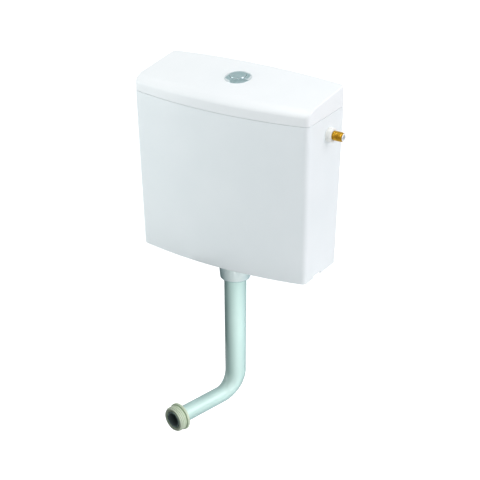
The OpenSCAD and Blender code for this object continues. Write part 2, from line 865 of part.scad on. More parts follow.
// Place of the plunger's round end that leaves one touch gap to the leaning horn
function plunger_end(lean) =
    (touch + plunger_r + horn_face - horn_h * sin(lean)) / cos(lean) - plunger_r;
plunger_l = fill_end_x - dia_t - touch - pin_x - plunger_end(0);
module fill_valve_plunger() {
    end_x = pin_x + plunger_end(float_droop);
    color("dimgray")
    on_inlet()
    union() {
        translate([end_x + plunger_r, 0, 0]) sphere(r = plunger_r);
        bar_along_x(plunger_r, end_x + plunger_r, end_x + plunger_l);
    }
}
// The float arm and all on it hang by the droop angle from the pin
module on_arm() {
    on_inlet() translate([pin_x, 0, -horn_h]) rotate([0, -float_droop, 0]) children();
}
adjuster_r = 3.5;
module float_arm() {
    hub_r = 5;
    eye_r = 7;
    bar_h = 6;
    horn_t = 4;
    color("white")
    on_arm()
    difference() {
        union() {
            bar_along_y(hub_r, -arm_w / 2, arm_w / 2);
            block([-arm_l, -arm_w / 2, -bar_h / 2], [0, arm_w / 2, bar_h / 2]);
            block([horn_face - horn_t, -arm_w / 2, 0], [horn_face, arm_w / 2, horn_h + plunger_r + 1]);
            translate([-arm_l, 0, -hub_r]) cylinder(r = eye_r, h = 2 * hub_r);
        }
        bar_along_y(arm_pin_r + pin_gap, -arm_w, arm_w);
        translate([-arm_l, 0, -hub_r - over]) cylinder(r = adjuster_r + snug, h = 2 * hub_r + 2 * over);
    }
}
module float_arm_pin() {
    end = arm_w / 2 + touch + arm_ear_t;
    color("silver")
    on_inlet() translate([pin_x, 0, -horn_h]) bar_along_y(arm_pin_r, -end, end);
}
module float_adjuster() {
    knob_h = 5;
    knob_r = 6;
    eye_top = 5;
    color("white")
    on_arm()
    translate([-arm_l, 0, 0]) {
        translate([0, 0, -drop_l]) cylinder(r = adjuster_r, h = drop_l + eye_top + knob_h);
        translate([0, 0, eye_top]) cylinder(r = knob_r, h = knob_h);
    }
}
module float() {
    shell = 2;
    low = 8 - drop_l;
    neck_r = adjuster_r + snug;
    color("lightgray")
    on_arm()
    translate([-arm_l, 0, 0])
    rotate_extrude() polygon([
        [neck_r, low], [neck_r + shell, low], [neck_r + shell, low + float_h - shell],
        [float_r - shell, low + float_h - shell], [float_r - shell, low], [float_r, low],
        [float_r, low + float_h - 4], [float_r - 4, low + float_h], [neck_r, low + float_h]
    ]);
}
module silencer_tube() {
    tube_gap = 30; // height of its mouth above the floor
    grip = 10; // overlap on the valve's stub
    tube_high = inlet_z - stub_l + grip;
    color("white")
    translate([stub_x, -inlet_back, 0])
        ring(stub_r + snug, stub_r + 2, floor_z + tube_gap, tube_high);
}

// Coupling under the tank
ring_t = 7;
nut_floor = 7.4;
nut_z = tail_z - ring_t - nut_floor;
module coupling_nut() {
    taper = 2.2; // how much the side comes in towards the bottom
    nose_r = 5;
    low_r = nut_r - taper;
    color("mintcream")
    on_outlet()
    rotate_extrude() polygon(concat(
        [[pipe_r + slip, nut_z]],
        [for (a = [-90:15:0]) [low_r - nose_r + nose_r * cos(a), nut_z + nose_r + nose_r * sin(a)]],
        [[nut_r, nut_z + nut_h - 1], [nut_r - 1, nut_z + nut_h], [tail_r + snug, nut_z + nut_h]],
        [[tail_r + snug, nut_z + nut_floor], [pipe_r + slip, nut_z + nut_floor]]
    ));
}
module coupling_seal() {
    color("dimgray")
    on_outlet()
    rotate_extrude() polygon([
        [pipe_r + slip, tail_z - ring_t], [tail_r, tail_z - ring_t], [tail_r, tail_z],
        [pipe_r + slip, tail_z]
    ]);
}

// Flush bend: a tapering drop, a reducing bend and a lower leg
pipe_top_z = tail_z + 24;
corner_z = foot_z - bend_down;
bend_deg = 90 - leg_fall;
tangent_l = bend_r * tan(bend_deg / 2);
bend_z = corner_z + tangent_l;
taper_z = nut_z - 20; // the drop is parallel down to here
facet_gap = 0.3; // the faceted bend stays this far inside the true round ends
module pipe_frame() {
    on_outlet() rotate(-90 - leg_turn) children();
}
module along_leg() {
    pipe_frame() translate([0, 0, corner_z]) rotate([0, 90 + leg_fall, 0]) children();
}
// Outer or inner face of the drop, the bend and the leg, with ends run on by past
module pipe_body(inset, past) {
    sides = 40;
    steps = 10;
    lap = 1; // the bend runs this far into the drop and the leg
    r_top = pipe_r - inset;
    r_mid = pipe_mid_r - inset;
    r_leg = leg_r - inset;
    on_outlet() rotate_extrude() polygon([
        [0, bend_z - lap / 2], [r_mid, bend_z - lap / 2], [r_top, taper_z],
        [r_top, pipe_top_z + past], [0, pipe_top_z + past]
    ]);
    pipe_frame() skin([
        for (i = [steps + 1:-1:-1])
            let (share = max(0, min(1, i / steps)))
            let (a = bend_deg * share)
            let (run_on = i < 0 ? -lap : i > steps ? lap : 0)
            let (r = r_mid + (r_leg - r_mid) * (3 * share * share - 2 * pow(share, 3)) - facet_gap)
            let (x = bend_r * (1 - cos(a)) + run_on * sin(a))
            let (z = bend_z - bend_r * sin(a) - run_on * cos(a))
            [for (k = [0:sides - 1]) let (b = 360 * k / sides)
                [x + r * cos(b) * cos(a), r * sin(b), z + r * cos(b) * sin(a)]]
    ]);
    along_leg() translate([0, 0, tangent_l - lap / 2])
        cylinder(r = r_leg, h = leg_end - tangent_l + lap / 2 + past);
}
cone_lip = 3; // how far the connector's face stands past the end of the pipe
leg_end = leg_l - cone_lip;
module flush_pipe() {
    color("mintcream")
    difference() {
        pipe_body(0, 0);
        pipe_body(pipe_t, over);
    }
}
// Ribbed rubber cone that seals the pipe in the pan
module pan_connector() {
    flange_w = 6;
    groove_w = 2.5;
    groove_r = cone_r - 3;
    face_r = cone_r - 2.5;
    low = leg_l - cone_l;
    body = low + flange_w + groove_w;
    color("darkseagreen")
    along_leg()
    rotate_extrude() polygon([
        [leg_r + snug, low], [cone_flange_r - 1.5, low], [cone_flange_r, low + 1.5],
        [cone_flange_r, low + flange_w - 1.5], [cone_flange_r - 1.5, low + flange_w],
        [groove_r, low + flange_w], [groove_r, body], [cone_r, body], [cone_r, leg_l - 3],
        [face_r, leg_l], [leg_r - pipe_t, leg_l], [leg_r - pipe_t, leg_end + snug],
        [leg_r + snug, leg_end + snug]
    ]);
}

tank();
lid();
button_bezel();
bezel_locknut();
full_flush_button();
half_flush_button();
full_flush_rod();
half_flush_rod();
full_button_spring();
half_button_spring();
full_flush_rocker();
half_flush_rocker();
rocker_pins();
flush_valve_base();
outlet_gasket();
outlet_backnut();
flush_valve_tower();
overflow_tube();
flush_seal();
seal_retainer();
lift_rod();
half_flush_sleeve();
inlet_shank();
inlet_backnut();
inlet_washer();
inlet_filter();
fill_valve_body();
fill_valve_diaphragm();
fill_valve_cap();
fill_valve_plunger();
float_arm();
float_arm_pin();
float_adjuster();
float();
silencer_tube();
coupling_nut();
coupling_seal();
flush_pipe();
pan_connector();
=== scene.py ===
# %% [markdown]
# # A wall-hung toilet cistern with its flush bend
#
# The object is a low-level cistern: a white plastic tank that hangs on two wall screws, a lid with a
# bright two-part push button, a brass inlet on the right-hand side, and a pale green flush bend that
# drops from a coupling nut and ends in a ribbed rubber connector. The solid model gives the frame: every
# piece here sits where its solid sits, rides on the same body, and only adds the shape and finish that a
# photograph shows.
#
# The lesson goes from the large mouldings to the small fittings, then to the pieces inside, the light and
# the camera. Lengths below are in millimetres, because that is how the object is drawn, and are turned
# into metres where a mesh is placed.

# %% The frame
import math

import bmesh
import bpy
from mathutils import Matrix, Vector


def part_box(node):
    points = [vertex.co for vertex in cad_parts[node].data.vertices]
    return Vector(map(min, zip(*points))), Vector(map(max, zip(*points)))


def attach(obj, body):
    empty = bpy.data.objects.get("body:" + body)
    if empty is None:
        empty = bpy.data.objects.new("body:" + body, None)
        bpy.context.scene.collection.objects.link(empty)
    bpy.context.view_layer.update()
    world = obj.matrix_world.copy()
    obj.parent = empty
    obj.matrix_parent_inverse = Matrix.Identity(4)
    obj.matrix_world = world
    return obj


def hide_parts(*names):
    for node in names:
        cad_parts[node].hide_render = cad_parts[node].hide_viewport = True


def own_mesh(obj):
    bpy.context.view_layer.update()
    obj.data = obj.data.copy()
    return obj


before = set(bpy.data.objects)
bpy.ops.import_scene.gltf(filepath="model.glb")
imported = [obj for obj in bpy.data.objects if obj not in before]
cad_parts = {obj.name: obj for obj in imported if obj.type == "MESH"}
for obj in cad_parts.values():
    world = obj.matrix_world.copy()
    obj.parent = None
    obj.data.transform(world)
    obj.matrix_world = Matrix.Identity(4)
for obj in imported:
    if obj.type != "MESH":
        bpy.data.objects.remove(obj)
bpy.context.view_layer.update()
MM = 0.001

# %% [markdown]
# ## Driving sizes
#
# The large sizes are read from the solids, so the looks follow the model. The others are the small radii
# and drafts of the mouldings, which no box shows.

# %% Driving sizes
tank_lo, tank_hi = (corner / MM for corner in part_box("tank"))
lid_lo, lid_hi = (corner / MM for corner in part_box("lid"))
RIM, FOOT, HALF_W, FRONT = tank_hi.z, tank_lo.z, lid_hi.x, lid_lo.y
SIDE_D = 156.0                      # depth of the side walls at the rim
BOW = -FRONT - SIDE_D               # how far the front stands out past them
BOW_R = (HALF_W ** 2 + BOW ** 2) / (2 * BOW)
BAND = RIM - 25                     # the walls are upright above this height
# Lower and upper side of the floor, and the thickness of the walls
UNDER, FLOOR, WALL = FOOT + 14, FOOT + 18, 3.5
# How far each wall draws in from the band to the foot, and the rounds of the corners and the foot
SIDE_DRAFT, FRONT_DRAFT, BACK_DRAFT = 8, 10, 10
FRONT_R, BACK_R, FOOT_R = 12, 9, 2
# The lid: height at the back, slope, crown and its fading to the front, nose, edge round and thickness
LID_H, LID_FALL, LID_CROWN, CROWN_FADE = 56, math.radians(6.6), 8.8, 0.45
NOSE_D, NOSE_H, LID_EDGE, LID_T = 24, 12, 3, 3
# The joint under the lid: edge break, half of its height, and depth
SEAM, SEAM_GAP, SEAM_DEEP = 0.4, 0.35, 2.6
OUTLET = Vector((0, -94, 0))        # axis of the flush valve and the drop pipe
INLET = Vector((0, -69, 17))        # axis of the inlet
print(f"tank {2 * HALF_W:.0f} wide, rim {RIM:.0f}, foot {FOOT:.0f}, bow radius {BOW_R:.0f}")

# %% [markdown]
# ## Tools of the lesson
#
# Most pieces start as a primitive and are worked in edit mode. Three ways come back again and again: a
# circle that is extruded ring after ring (for mouldings and for the bend), a profile that is spun round
# an axis (for anything turned), and a solid that is cut by another one (for holes and notches).

# %% Tools for selecting and editing
def nothing_selected():
    """Leaves edit mode and deselects everything, so that an operator works on one piece only."""
    if bpy.context.mode != "OBJECT":
        bpy.ops.object.mode_set(mode="OBJECT")
    bpy.ops.object.select_all(action="DESELECT")


def only(piece):
    """Makes one piece the selected and active one."""
    nothing_selected()
    piece.select_set(True)
    bpy.context.view_layer.objects.active = piece
    return piece


def edit(piece):
    """Opens a piece for editing with all of it selected."""
    only(piece)
    bpy.ops.object.mode_set(mode="EDIT")
    bpy.ops.mesh.select_mode(type="VERT")
    bpy.ops.mesh.select_all(action="SELECT")


def leave():
    """Closes the open piece."""
    bpy.ops.object.mode_set(mode="OBJECT")


def named(name):
    """Names the piece that was just added."""
    piece = bpy.context.active_object
    piece.name = piece.data.name = name
    return piece


def pick(piece, kind, test):
    """In edit mode, selects only the vertices or edges that pass a test."""
    bpy.ops.mesh.select_mode(type=kind)
    bpy.ops.mesh.select_all(action="DESELECT")
    mesh = bmesh.from_edit_mesh(piece.data)
    for part in {"VERT": mesh.verts, "EDGE": mesh.edges}[kind]:
        if test(part):
            part.select_set(True)
    mesh.select_flush_mode()
    bmesh.update_edit_mesh(piece.data)


def tidy(piece):
    """Merges doubled points and turns all faces outwards."""
    edit(piece)
    bpy.ops.mesh.remove_doubles(threshold=2e-6)
    bpy.ops.mesh.normals_make_consistent(inside=False)
    leave()
    return piece


def smooth(piece, degrees=32):
    """Smooth shading that stays crisp at real edges."""
    only(piece)
    bpy.ops.object.shade_smooth_by_angle(angle=math.radians(degrees))
    return piece


def worked(piece, kind, **settings):
    """Adds a modifier with these settings and applies it."""
    only(piece)
    step = piece.modifiers.new("step", kind)
    for key, value in settings.items():
        setattr(step, key, value)
    bpy.ops.object.modifier_apply(modifier=step.name)
    return piece


def broken_edges(piece, width, segments=2, degrees=35):
    """Breaks the sharp edges with a small round, as a mould or a lathe tool leaves them."""
    return worked(piece, "BEVEL", width=width * MM, segments=segments, limit_method="ANGLE",
                  angle_limit=math.radians(degrees), use_clamp_overlap=True)


def merged(piece, other, how):
    """Unites with, or cuts away, another solid, which is then gone."""
    worked(piece, "BOOLEAN", operation=how, object=other, solver="EXACT")
    bpy.data.objects.remove(other, do_unlink=True)
    return piece


print("editing tools ready")


# %% Tools for making solids
def ringed(name, rings, caps=True):
    """A circle laid on the first ring and extruded to each next one. Rings are lists of points in mm."""
    nothing_selected()
    bpy.ops.mesh.primitive_circle_add(vertices=len(rings[0]), radius=1, fill_type="NOTHING")
    piece = named(name)
    place = piece.data.attributes.new("place", "INT", "POINT")
    for i, point in enumerate(rings[0]):
        place.data[i].value = i
        piece.data.vertices[i].co = Vector(point) * MM
    edit(piece)
    for ring in rings[1:]:
        bpy.ops.mesh.extrude_region_move()
        mesh = bmesh.from_edit_mesh(piece.data)
        layer = mesh.verts.layers.int["place"]
        for point in mesh.verts:
            if point.select:
                point.co = Vector(ring[point[layer]]) * MM
        bmesh.update_edit_mesh(piece.data)
    if caps:
        bpy.ops.mesh.edge_face_add()
        bpy.ops.mesh.select_all(action="DESELECT")
        bpy.ops.mesh.select_non_manifold()
        bpy.ops.mesh.edge_face_add()
    leave()
    piece.data.attributes.remove(piece.data.attributes["place"])
    return tidy(piece)


def turned(name, profile, place=Matrix(), steps=96):
    """A closed profile of (radius, height) pairs in mm, spun right round Z and then set in its place."""
    nothing_selected()
    bpy.ops.mesh.primitive_circle_add(vertices=len(profile), radius=1, fill_type="NOTHING")
    piece = named(name)
    for point, (radius, height) in zip(piece.data.vertices, profile):
        point.co = Vector((radius, 0, height)) * MM
    edit(piece)
    bpy.ops.mesh.spin(steps=steps, angle=math.tau, center=(0, 0, 0), axis=(0, 0, 1))
    leave()
    piece.data.transform(place)
    return tidy(piece)


def rounded(profile, radius, steps=4):
    """The same closed profile with every corner rounded."""
    most, out = 0.45, []            # a round takes up less than half of the shorter side
    for i, (x, y) in enumerate(profile):
        corner = Vector((x, y))
        before, after = Vector(profile[i - 1]) - corner, Vector(profile[(i + 1) % len(profile)]) - corner
        reach = min(radius, most * before.length, most * after.length)
        a, b = corner + before.normalized() * reach, corner + after.normalized() * reach
        for k in range(steps + 1):
            t = k / steps
            out.append(tuple(a * (1 - t) ** 2 + corner * 2 * t * (1 - t) + b * t ** 2))
    return out


def cylinder(name, radius, low, high, place=Matrix(), sides=64):
    """A plain cylinder along Z between two heights in mm, set in its place."""
    nothing_selected()
    bpy.ops.mesh.primitive_cylinder_add(vertices=sides, radius=radius * MM, depth=(high - low) * MM)
    piece = named(name)
    piece.data.transform(place @ Matrix.Translation((0, 0, (low + high) / 2 * MM)))
    return piece


def block(name, low, high):
    """A box between two corners in mm."""
    nothing_selected()
    bpy.ops.mesh.primitive_cube_add(size=1)
    piece = named(name)
    size, middle = Vector(high) - Vector(low), (Vector(high) + Vector(low)) / 2
    piece.data.transform(Matrix.Translation(middle * MM) @ Matrix.Diagonal((*(size * MM), 1)))
    return piece


def ridge(name, root, crest, pitch, low, high, place=Matrix(), steps=40):
    """A screw thread: one triangular tooth wound up an axis with a Screw modifier and closed at its ends."""
    nothing_selected()
    bpy.ops.mesh.primitive_circle_add(vertices=3, radius=1, fill_type="NOTHING")
    piece = named(name)
    sunk, wide = root - 0.2, 0.96   # the tooth is rooted in the shank, and just clears its next turn
    tooth = ((sunk, low), (crest, low + pitch * 0.5), (sunk, low + pitch * wide))
    for point, (radius, height) in zip(piece.data.vertices, tooth):
        point.co = Vector((radius, 0, height)) * MM
    turns = int((high - low) / pitch) - 1
    worked(piece, "SCREW", axis="Z", angle=math.tau, screw_offset=pitch * MM, iterations=turns,
           steps=steps, render_steps=steps)
    edit(piece)
    bpy.ops.mesh.fill_holes(sides=4)
    leave()
    piece.data.transform(place)
    return tidy(piece)


def at(point, turn=Matrix()):
    """A place in the frame: a point in mm and a turn."""
    return Matrix.Translation(Vector(point) * MM) @ turn


ALONG_X = Matrix.Rotation(math.pi / 2, 4, "Y")
INLET_PLACE, OUTLET_PLACE = at(INLET, ALONG_X), at(OUTLET)
print("making tools ready")

# %% [markdown]
# ## Finishes
#
# Moulded plastic is never one flat colour: the pigment drifts a little, the gloss varies where the mould
# was polished, and there is a faint orange-peel in the surface. Metal shows the marks of the tool that
# cut it. Two node groups make those variations from Object coordinates; each material keeps its own
# shader and takes colour, roughness and height from a group.

# %% Node groups
def new_group(name, inputs, outputs):
    """An empty shader group with these sockets."""
    group = bpy.data.node_groups.new(name, "ShaderNodeTree")
    for label, kind in inputs:
        group.interface.new_socket(label, in_out="INPUT", socket_type=kind)
    for label, kind in outputs:
        group.interface.new_socket(label, in_out="OUTPUT", socket_type=kind)
    return group, group.nodes.new("NodeGroupInput"), group.nodes.new("NodeGroupOutput")


def add(tree, kind, **sockets):
    """Adds a node and sets its inputs by name; spaces in names are written as underscores."""
    node = tree.nodes.new(kind)
    for label, value in sockets.items():
        node.inputs[label.replace("_", " ")].default_value = value
    return node


COLOUR, NUMBER = "NodeSocketColor", "NodeSocketFloat"
VARYING = [("Colour", COLOUR), ("Roughness", NUMBER), ("Height", NUMBER)]
CHOSEN = [("Light", COLOUR), ("Shade", COLOUR), ("Least Rough", NUMBER), ("Most Rough", NUMBER)]


def varied(group, entry, leave_by, drift, gloss, height):
    """Wires three textures to a group's colour, roughness and height."""
    mix = group.nodes.new("ShaderNodeMix")
    mix.data_type = "RGBA"
    spread = add(group, "ShaderNodeMapRange", From_Min=0.3, From_Max=0.7)
    span = group.nodes.new("ShaderNodeMapRange")
    wire = group.links.new
    wire(drift, spread.inputs["Value"])
    wire(spread.outputs["Result"], mix.inputs["Factor"])
    wire(entry.outputs["Shade"], mix.inputs["A"])
    wire(entry.outputs["Light"], mix.inputs["B"])
    wire(gloss, span.inputs["Value"])
    wire(entry.outputs["Least Rough"], span.inputs["To Min"])
    wire(entry.outputs["Most Rough"], span.inputs["To Max"])
    wire(mix.outputs["Result"], leave_by.inputs["Colour"])
    wire(span.outputs["Result"], leave_by.inputs["Roughness"])
    wire(height, leave_by.inputs["Height"])


def moulded_group():
    """Pigment drift, uneven gloss and a faint orange-peel."""
    group, entry, leave_by = new_group("moulded_skin", CHOSEN, VARYING)
    where = group.nodes.new("ShaderNodeTexCoord").outputs["Object"]
    fields = []
    for scale, detail in ((9, 3), (60, 4), (420, 2)):
        field = add(group, "ShaderNodeTexNoise", Scale=scale, Detail=detail)
        group.links.new(where, field.inputs["Vector"])
        fields.append(field.outputs["Fac"])
    varied(group, entry, leave_by, *fields)
    return group


def tooled_group():
    """Fine marks drawn out along the way the tool or the wire went, with wider bands under them."""
    group, entry, leave_by = new_group("tooled_skin", CHOSEN, VARYING)
    where = group.nodes.new("ShaderNodeTexCoord").outputs["Object"]
    fields = []
    for stretch, scale in (((9, 1, 1), 30), ((40, 3, 3), 60), ((60, 2, 2), 90)):
        along = add(group, "ShaderNodeMapping", Scale=stretch)
        field = add(group, "ShaderNodeTexNoise", Scale=scale, Detail=3)
        group.links.new(where, along.inputs["Vector"])
        group.links.new(along.outputs["Vector"], field.inputs["Vector"])
        fields.append(field.outputs["Fac"])
    varied(group, entry, leave_by, *fields)
    return group


MOULDED, TOOLED = moulded_group(), tooled_group()
print("groups:", MOULDED.name, TOOLED.name)


# %% Materials
def material(name, group, light, shade, rough, bump, edge=None, **shader_sockets):
    """A material whose colour, roughness and relief come from a group; other shader values are set directly.
    A clear-bodied plastic also gets an edge colour, where the eye looks along its wall."""
    made = bpy.data.materials.new(name)
    made.use_nodes = True
    tree = made.node_tree
    shader = tree.nodes["Principled BSDF"]
    skin = tree.nodes.new("ShaderNodeGroup")
    skin.node_tree = group
    skin.inputs["Light"].default_value = (*light, 1)
    skin.inputs["Shade"].default_value = (*shade, 1)
    skin.inputs["Least Rough"].default_value, skin.inputs["Most Rough"].default_value = rough
    relief = add(tree, "ShaderNodeBump", Strength=bump, Distance=0.0004)
    wire = tree.links.new
    colour = skin.outputs["Colour"]
    if edge:
        along = add(tree, "ShaderNodeLayerWeight", Blend=0.5)
        share = add(tree, "ShaderNodeMapRange", From_Min=0.15, From_Max=0.85)
        deep = tree.nodes.new("ShaderNodeMix")
        deep.data_type = "RGBA"
        deep.inputs["B"].default_value = (*edge, 1)
        wire(along.outputs["Facing"], share.inputs["Value"])
        wire(share.outputs["Result"], deep.inputs["Factor"])
        wire(colour, deep.inputs["A"])
        colour = deep.outputs["Result"]
    wire(colour, shader.inputs["Base Color"])
    wire(skin.outputs["Roughness"], shader.inputs["Roughness"])
    wire(skin.outputs["Height"], relief.inputs["Height"])
    wire(relief.outputs["Normal"], shader.inputs["Normal"])
    for label, value in shader_sockets.items():
        shader.inputs[label.replace("_", " ")].default_value = value
    return made


TANK_WHITE = material("tank_white", MOULDED, (0.815, 0.865, 0.88), (0.79, 0.845, 0.86), (0.30, 0.40), 0.05)
LID_WHITE = material("lid_white", MOULDED, (0.84, 0.875, 0.885), (0.815, 0.853, 0.865), (0.28, 0.38), 0.05)
CHROME = material("plated_chrome", TOOLED, (0.70, 0.77, 0.79), (0.60, 0.68, 0.70), (0.05, 0.12), 0.02,
                  Metallic=1.0)
FITTING = material("fitting_white", MOULDED, (0.88, 0.89, 0.86), (0.85, 0.865, 0.83), (0.30, 0.42), 0.06)
COUPLING = material("coupling_white", MOULDED, (0.84, 0.95, 0.94), (0.80, 0.925, 0.91), (0.20, 0.30), 0.05,
                    edge=(0.22, 0.42, 0.46))
PIPE = material("pipe_green", MOULDED, (0.72, 0.95, 0.89), (0.68, 0.92, 0.86), (0.14, 0.22), 0.04,
                edge=(0.22, 0.41, 0.41))
# The bore's dark colour is painted shade for the inside of the tube; only its higher roughness is a real
# finish.
PIPE_BORE_SHADE = material("pipe_bore_painted_shade", MOULDED, (0.20, 0.25, 0.25), (0.15, 0.20, 0.20), (0.40, 0.52), 0.06)
COLLAR = material("collar_rubber", MOULDED, (0.68, 0.79, 0.61), (0.62, 0.73, 0.55), (0.42, 0.54), 0.06)
BRASS = material("turned_brass", TOOLED, (0.66, 0.40, 0.045), (0.36, 0.19, 0.012), (0.18, 0.32), 0.05,
                 Metallic=1.0)
TINNED = material("tinned_brass", TOOLED, (0.86, 0.89, 0.92), (0.78, 0.82, 0.86), (0.24, 0.38), 0.04)
STEEL = material("drawn_steel", TOOLED, (0.62, 0.63, 0.64), (0.50, 0.51, 0.52), (0.22, 0.34), 0.03,
                 Metallic=1.0)
RUBBER = material("black_rubber", MOULDED, (0.035, 0.035, 0.036), (0.022, 0.022, 0.023), (0.50, 0.64), 0.10)
INNER = material("inner_white", MOULDED, (0.80, 0.81, 0.80), (0.75, 0.765, 0.755), (0.36, 0.48), 0.08)
MILKY = material("inner_milky", MOULDED, (0.72, 0.77, 0.78), (0.67, 0.72, 0.74), (0.30, 0.42), 0.06)
SLEEVE = material("inner_blue", MOULDED, (0.30, 0.48, 0.66), (0.25, 0.43, 0.61), (0.34, 0.46), 0.08)
FLOAT = material("inner_grey", MOULDED, (0.48, 0.50, 0.51), (0.43, 0.45, 0.46), (0.38, 0.50), 0.08)
print("materials:", len(bpy.data.materials))


def finished(piece, body, slot, look, *nodes):
    """Gives a piece its material, its body, and the solids that it stands for. The slot is not used."""
    piece.data.materials.clear()
    piece.data.materials.append(look)
    if nodes:
        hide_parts(*nodes)
    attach(piece, body)
    print(f"{piece.name}: {len(piece.data.polygons)} faces, rides on {body}")
    return piece


# %% [markdown]
# ## The tank
#
# The tank is one injection moulding with a bowed front. Above a band under the rim the walls are upright;
# below it they draw in towards the foot, so that the moulding leaves the mould. A skirt under the floor
# hides the outlet nut. It could be made by extruding a plate and hollowing it; here one outline is laid
# at many heights and insets, from the inner floor up the inside, over the rim, down the outside, round
# the foot and up under the floor, because then every wall has its real thickness and the draft comes from
# one rule.

# %% The bowed outline
def arc(centre, radius, start, end, steps):
    """Points on an arc after its first one."""
    turns = [start + (end - start) * i / steps for i in range(1, steps + 1)]
    return [(centre[0] + radius * math.cos(a), centre[1] + radius * math.sin(a)) for a in turns]


def line(start, end, steps):
    """Points on a straight line after its first one."""
    return [tuple(s + (e - s) * i / steps for s, e in zip(start, end)) for i in range(1, steps + 1)]


BOW_STEPS, CORNER_STEPS, SIDE_STEPS = 48, 8, 10
QUARTER = math.pi / 2


def outline(z, inset):
    """The plan of the tank at a height, drawn in by inset, anticlockwise from the left end of the bow."""
    drawn = 1 - min(1, (z - FOOT) / (BAND - FOOT))
    hw = HALF_W - SIDE_DRAFT * drawn - inset
    back, front = -BACK_DRAFT * drawn - inset, FRONT + FRONT_DRAFT * drawn + inset
    bow_r, fr, rr = BOW_R - inset, max(FRONT_R - inset, 2), max(BACK_R - inset, 2)
    cy = front + bow_r
    lean = math.asin((hw - fr) / (bow_r - fr))
    ky = cy - (bow_r - fr) * math.cos(lean)
    return (arc((0, cy), bow_r, -QUARTER - lean, -QUARTER + lean, BOW_STEPS)
            + arc((hw - fr, ky), fr, -QUARTER + lean, 0, CORNER_STEPS)
            + line((hw, ky), (hw, back - rr), SIDE_STEPS)
            + arc((hw - rr, back - rr), rr, 0, QUARTER, CORNER_STEPS)
            + line((hw - rr, back), (rr - hw, back), BOW_STEPS)
            + arc((rr - hw, back - rr), rr, QUARTER, math.pi, CORNER_STEPS)
            + line((-hw, back - rr), (-hw, ky), SIDE_STEPS)
            + arc((fr - hw, ky), fr, math.pi, 3 * QUARTER - lean, CORNER_STEPS))


def level(z, inset):
    """One ring of the tank, flat at a height."""
    return [(x, y, z) for x, y in outline(z, inset)]


def fillet(z, inset, radius, steps=4):
    """Heights and insets round a quarter turn, from flat to upright."""
    turns = [QUARTER * i / steps for i in range(steps + 1)]
    return [(z + radius * (1 - math.cos(a)), inset + radius * (1 - math.sin(a))) for a in turns]


print("outline:", len(outline(RIM, 0)), "points")

# %% The tank's shell
EASED = 0.5                         # small eased edges on hidden corners
heights = [FOOT + 60, FOOT + 130, FOOT + 210, FOOT + 290, BAND - 4, BAND, BAND + 4]
path = fillet(FLOOR, WALL, 3) + [(z, WALL) for z in heights]
path += [(RIM - EASED, WALL), (RIM, WALL - EASED), (RIM, SEAM_DEEP), (RIM - SEAM_GAP, SEAM_DEEP)]
path += [(RIM - SEAM_GAP, SEAM), (RIM - SEAM_GAP - SEAM, 0)]
path += [(z, 0) for z in reversed(heights)] + fillet(FOOT, 0, FOOT_R)[::-1]
path += [(FOOT, WALL - EASED), (FOOT + EASED, WALL), (UNDER, WALL)]
tank = ringed("tank_shell", [level(z, inset) for z, inset in path])
print("tank shell:", len(tank.data.polygons), "faces")

# %% [markdown]
# The back carries two upright ribs that stay on the wall plane while the back itself draws in, each with
# a boss for a wall screw. The right-hand wall has a flat seat for the inlet nut. Then the holes are cut:
# two for the screws, one for the inlet, one for the outlet, and a notch across the skirt.

# %% Ribs, seats and holes
FIX_X, RIB_W, RIB_SHORT = 110, 24, 3
BOSS_DEEP, SCREW_R = 8, 4
SEAT_R, SEAT_DEEP, INLET_R, OUTLET_R = 19.5, 4.7, 10.98, 31
NOTCH_HALF, NOTCH_H, NOTCH_R = 16.5, 6, 2
for side in (-1, 1):
    x = side * FIX_X
    rib = block("rib", (x - RIB_W / 2, -WALL / 2, FOOT + RIB_SHORT), (x + RIB_W / 2, 0, BAND - RIB_SHORT))
    edit(rib)
    pick(rib, "VERT", lambda v: v.co.z < 0 and v.co.y < -WALL / 4 * MM)
    bpy.ops.transform.translate(value=(0, -BACK_DRAFT * MM, 0))
    leave()
    merged(tank, rib, "UNION")
    screw = at((x, 0, 0), Matrix.Rotation(QUARTER, 4, "X"))
    merged(tank, cylinder("boss", RIB_W / 2, WALL / 2, BOSS_DEEP, screw), "UNION")
    merged(tank, cylinder("hole", SCREW_R, -1, BOSS_DEEP + 1, screw, 32), "DIFFERENCE")
seat_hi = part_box("inlet_backnut")[0].x / MM
seat_lo = seat_hi - SEAT_DEEP
merged(tank, cylinder("seat", SEAT_R, seat_lo, seat_hi, INLET_PLACE), "UNION")
merged(tank, cylinder("inlet_hole", INLET_R, seat_lo - 1, seat_hi + 1, INLET_PLACE), "DIFFERENCE")
off_edges = Matrix.Rotation(math.radians(1), 4, "Z")  # keeps the points of the cut off the edges of the floor
merged(tank, cylinder("outlet_hole", OUTLET_R, UNDER - 1, FLOOR + 1, at(OUTLET, off_edges)), "DIFFERENCE")
notch = block("notch", (-HALF_W, OUTLET.y - NOTCH_HALF, FOOT - 1),
              (HALF_W, OUTLET.y + NOTCH_HALF, FOOT + NOTCH_H))
edit(notch)
pick(notch, "EDGE", lambda e: all(v.co.z > (FOOT + NOTCH_H - 1) * MM for v in e.verts)
     and abs(e.verts[0].co.y - e.verts[1].co.y) < 1e-6)
bpy.ops.mesh.bevel(offset=NOTCH_R * MM, segments=4, affect="EDGES")
leave()
merged(tank, notch, "DIFFERENCE")
finished(smooth(tank), "tank_body", "tank_plastic", TANK_WHITE, "tank")

# %% [markdown]
# ## The lid
#
# The lid is a second moulding that sits on the rim. Its top falls forward, is crowned from side to side,
# and turns down in a steep nose behind the front edge. A lip under it drops inside the rim. The same
# outline serves again, draped on a height rule. The rings run from the middle of the ceiling out and down
# the inside, round the lip, and back up the outside to the middle of the top, where the last ring closes
# on a line.

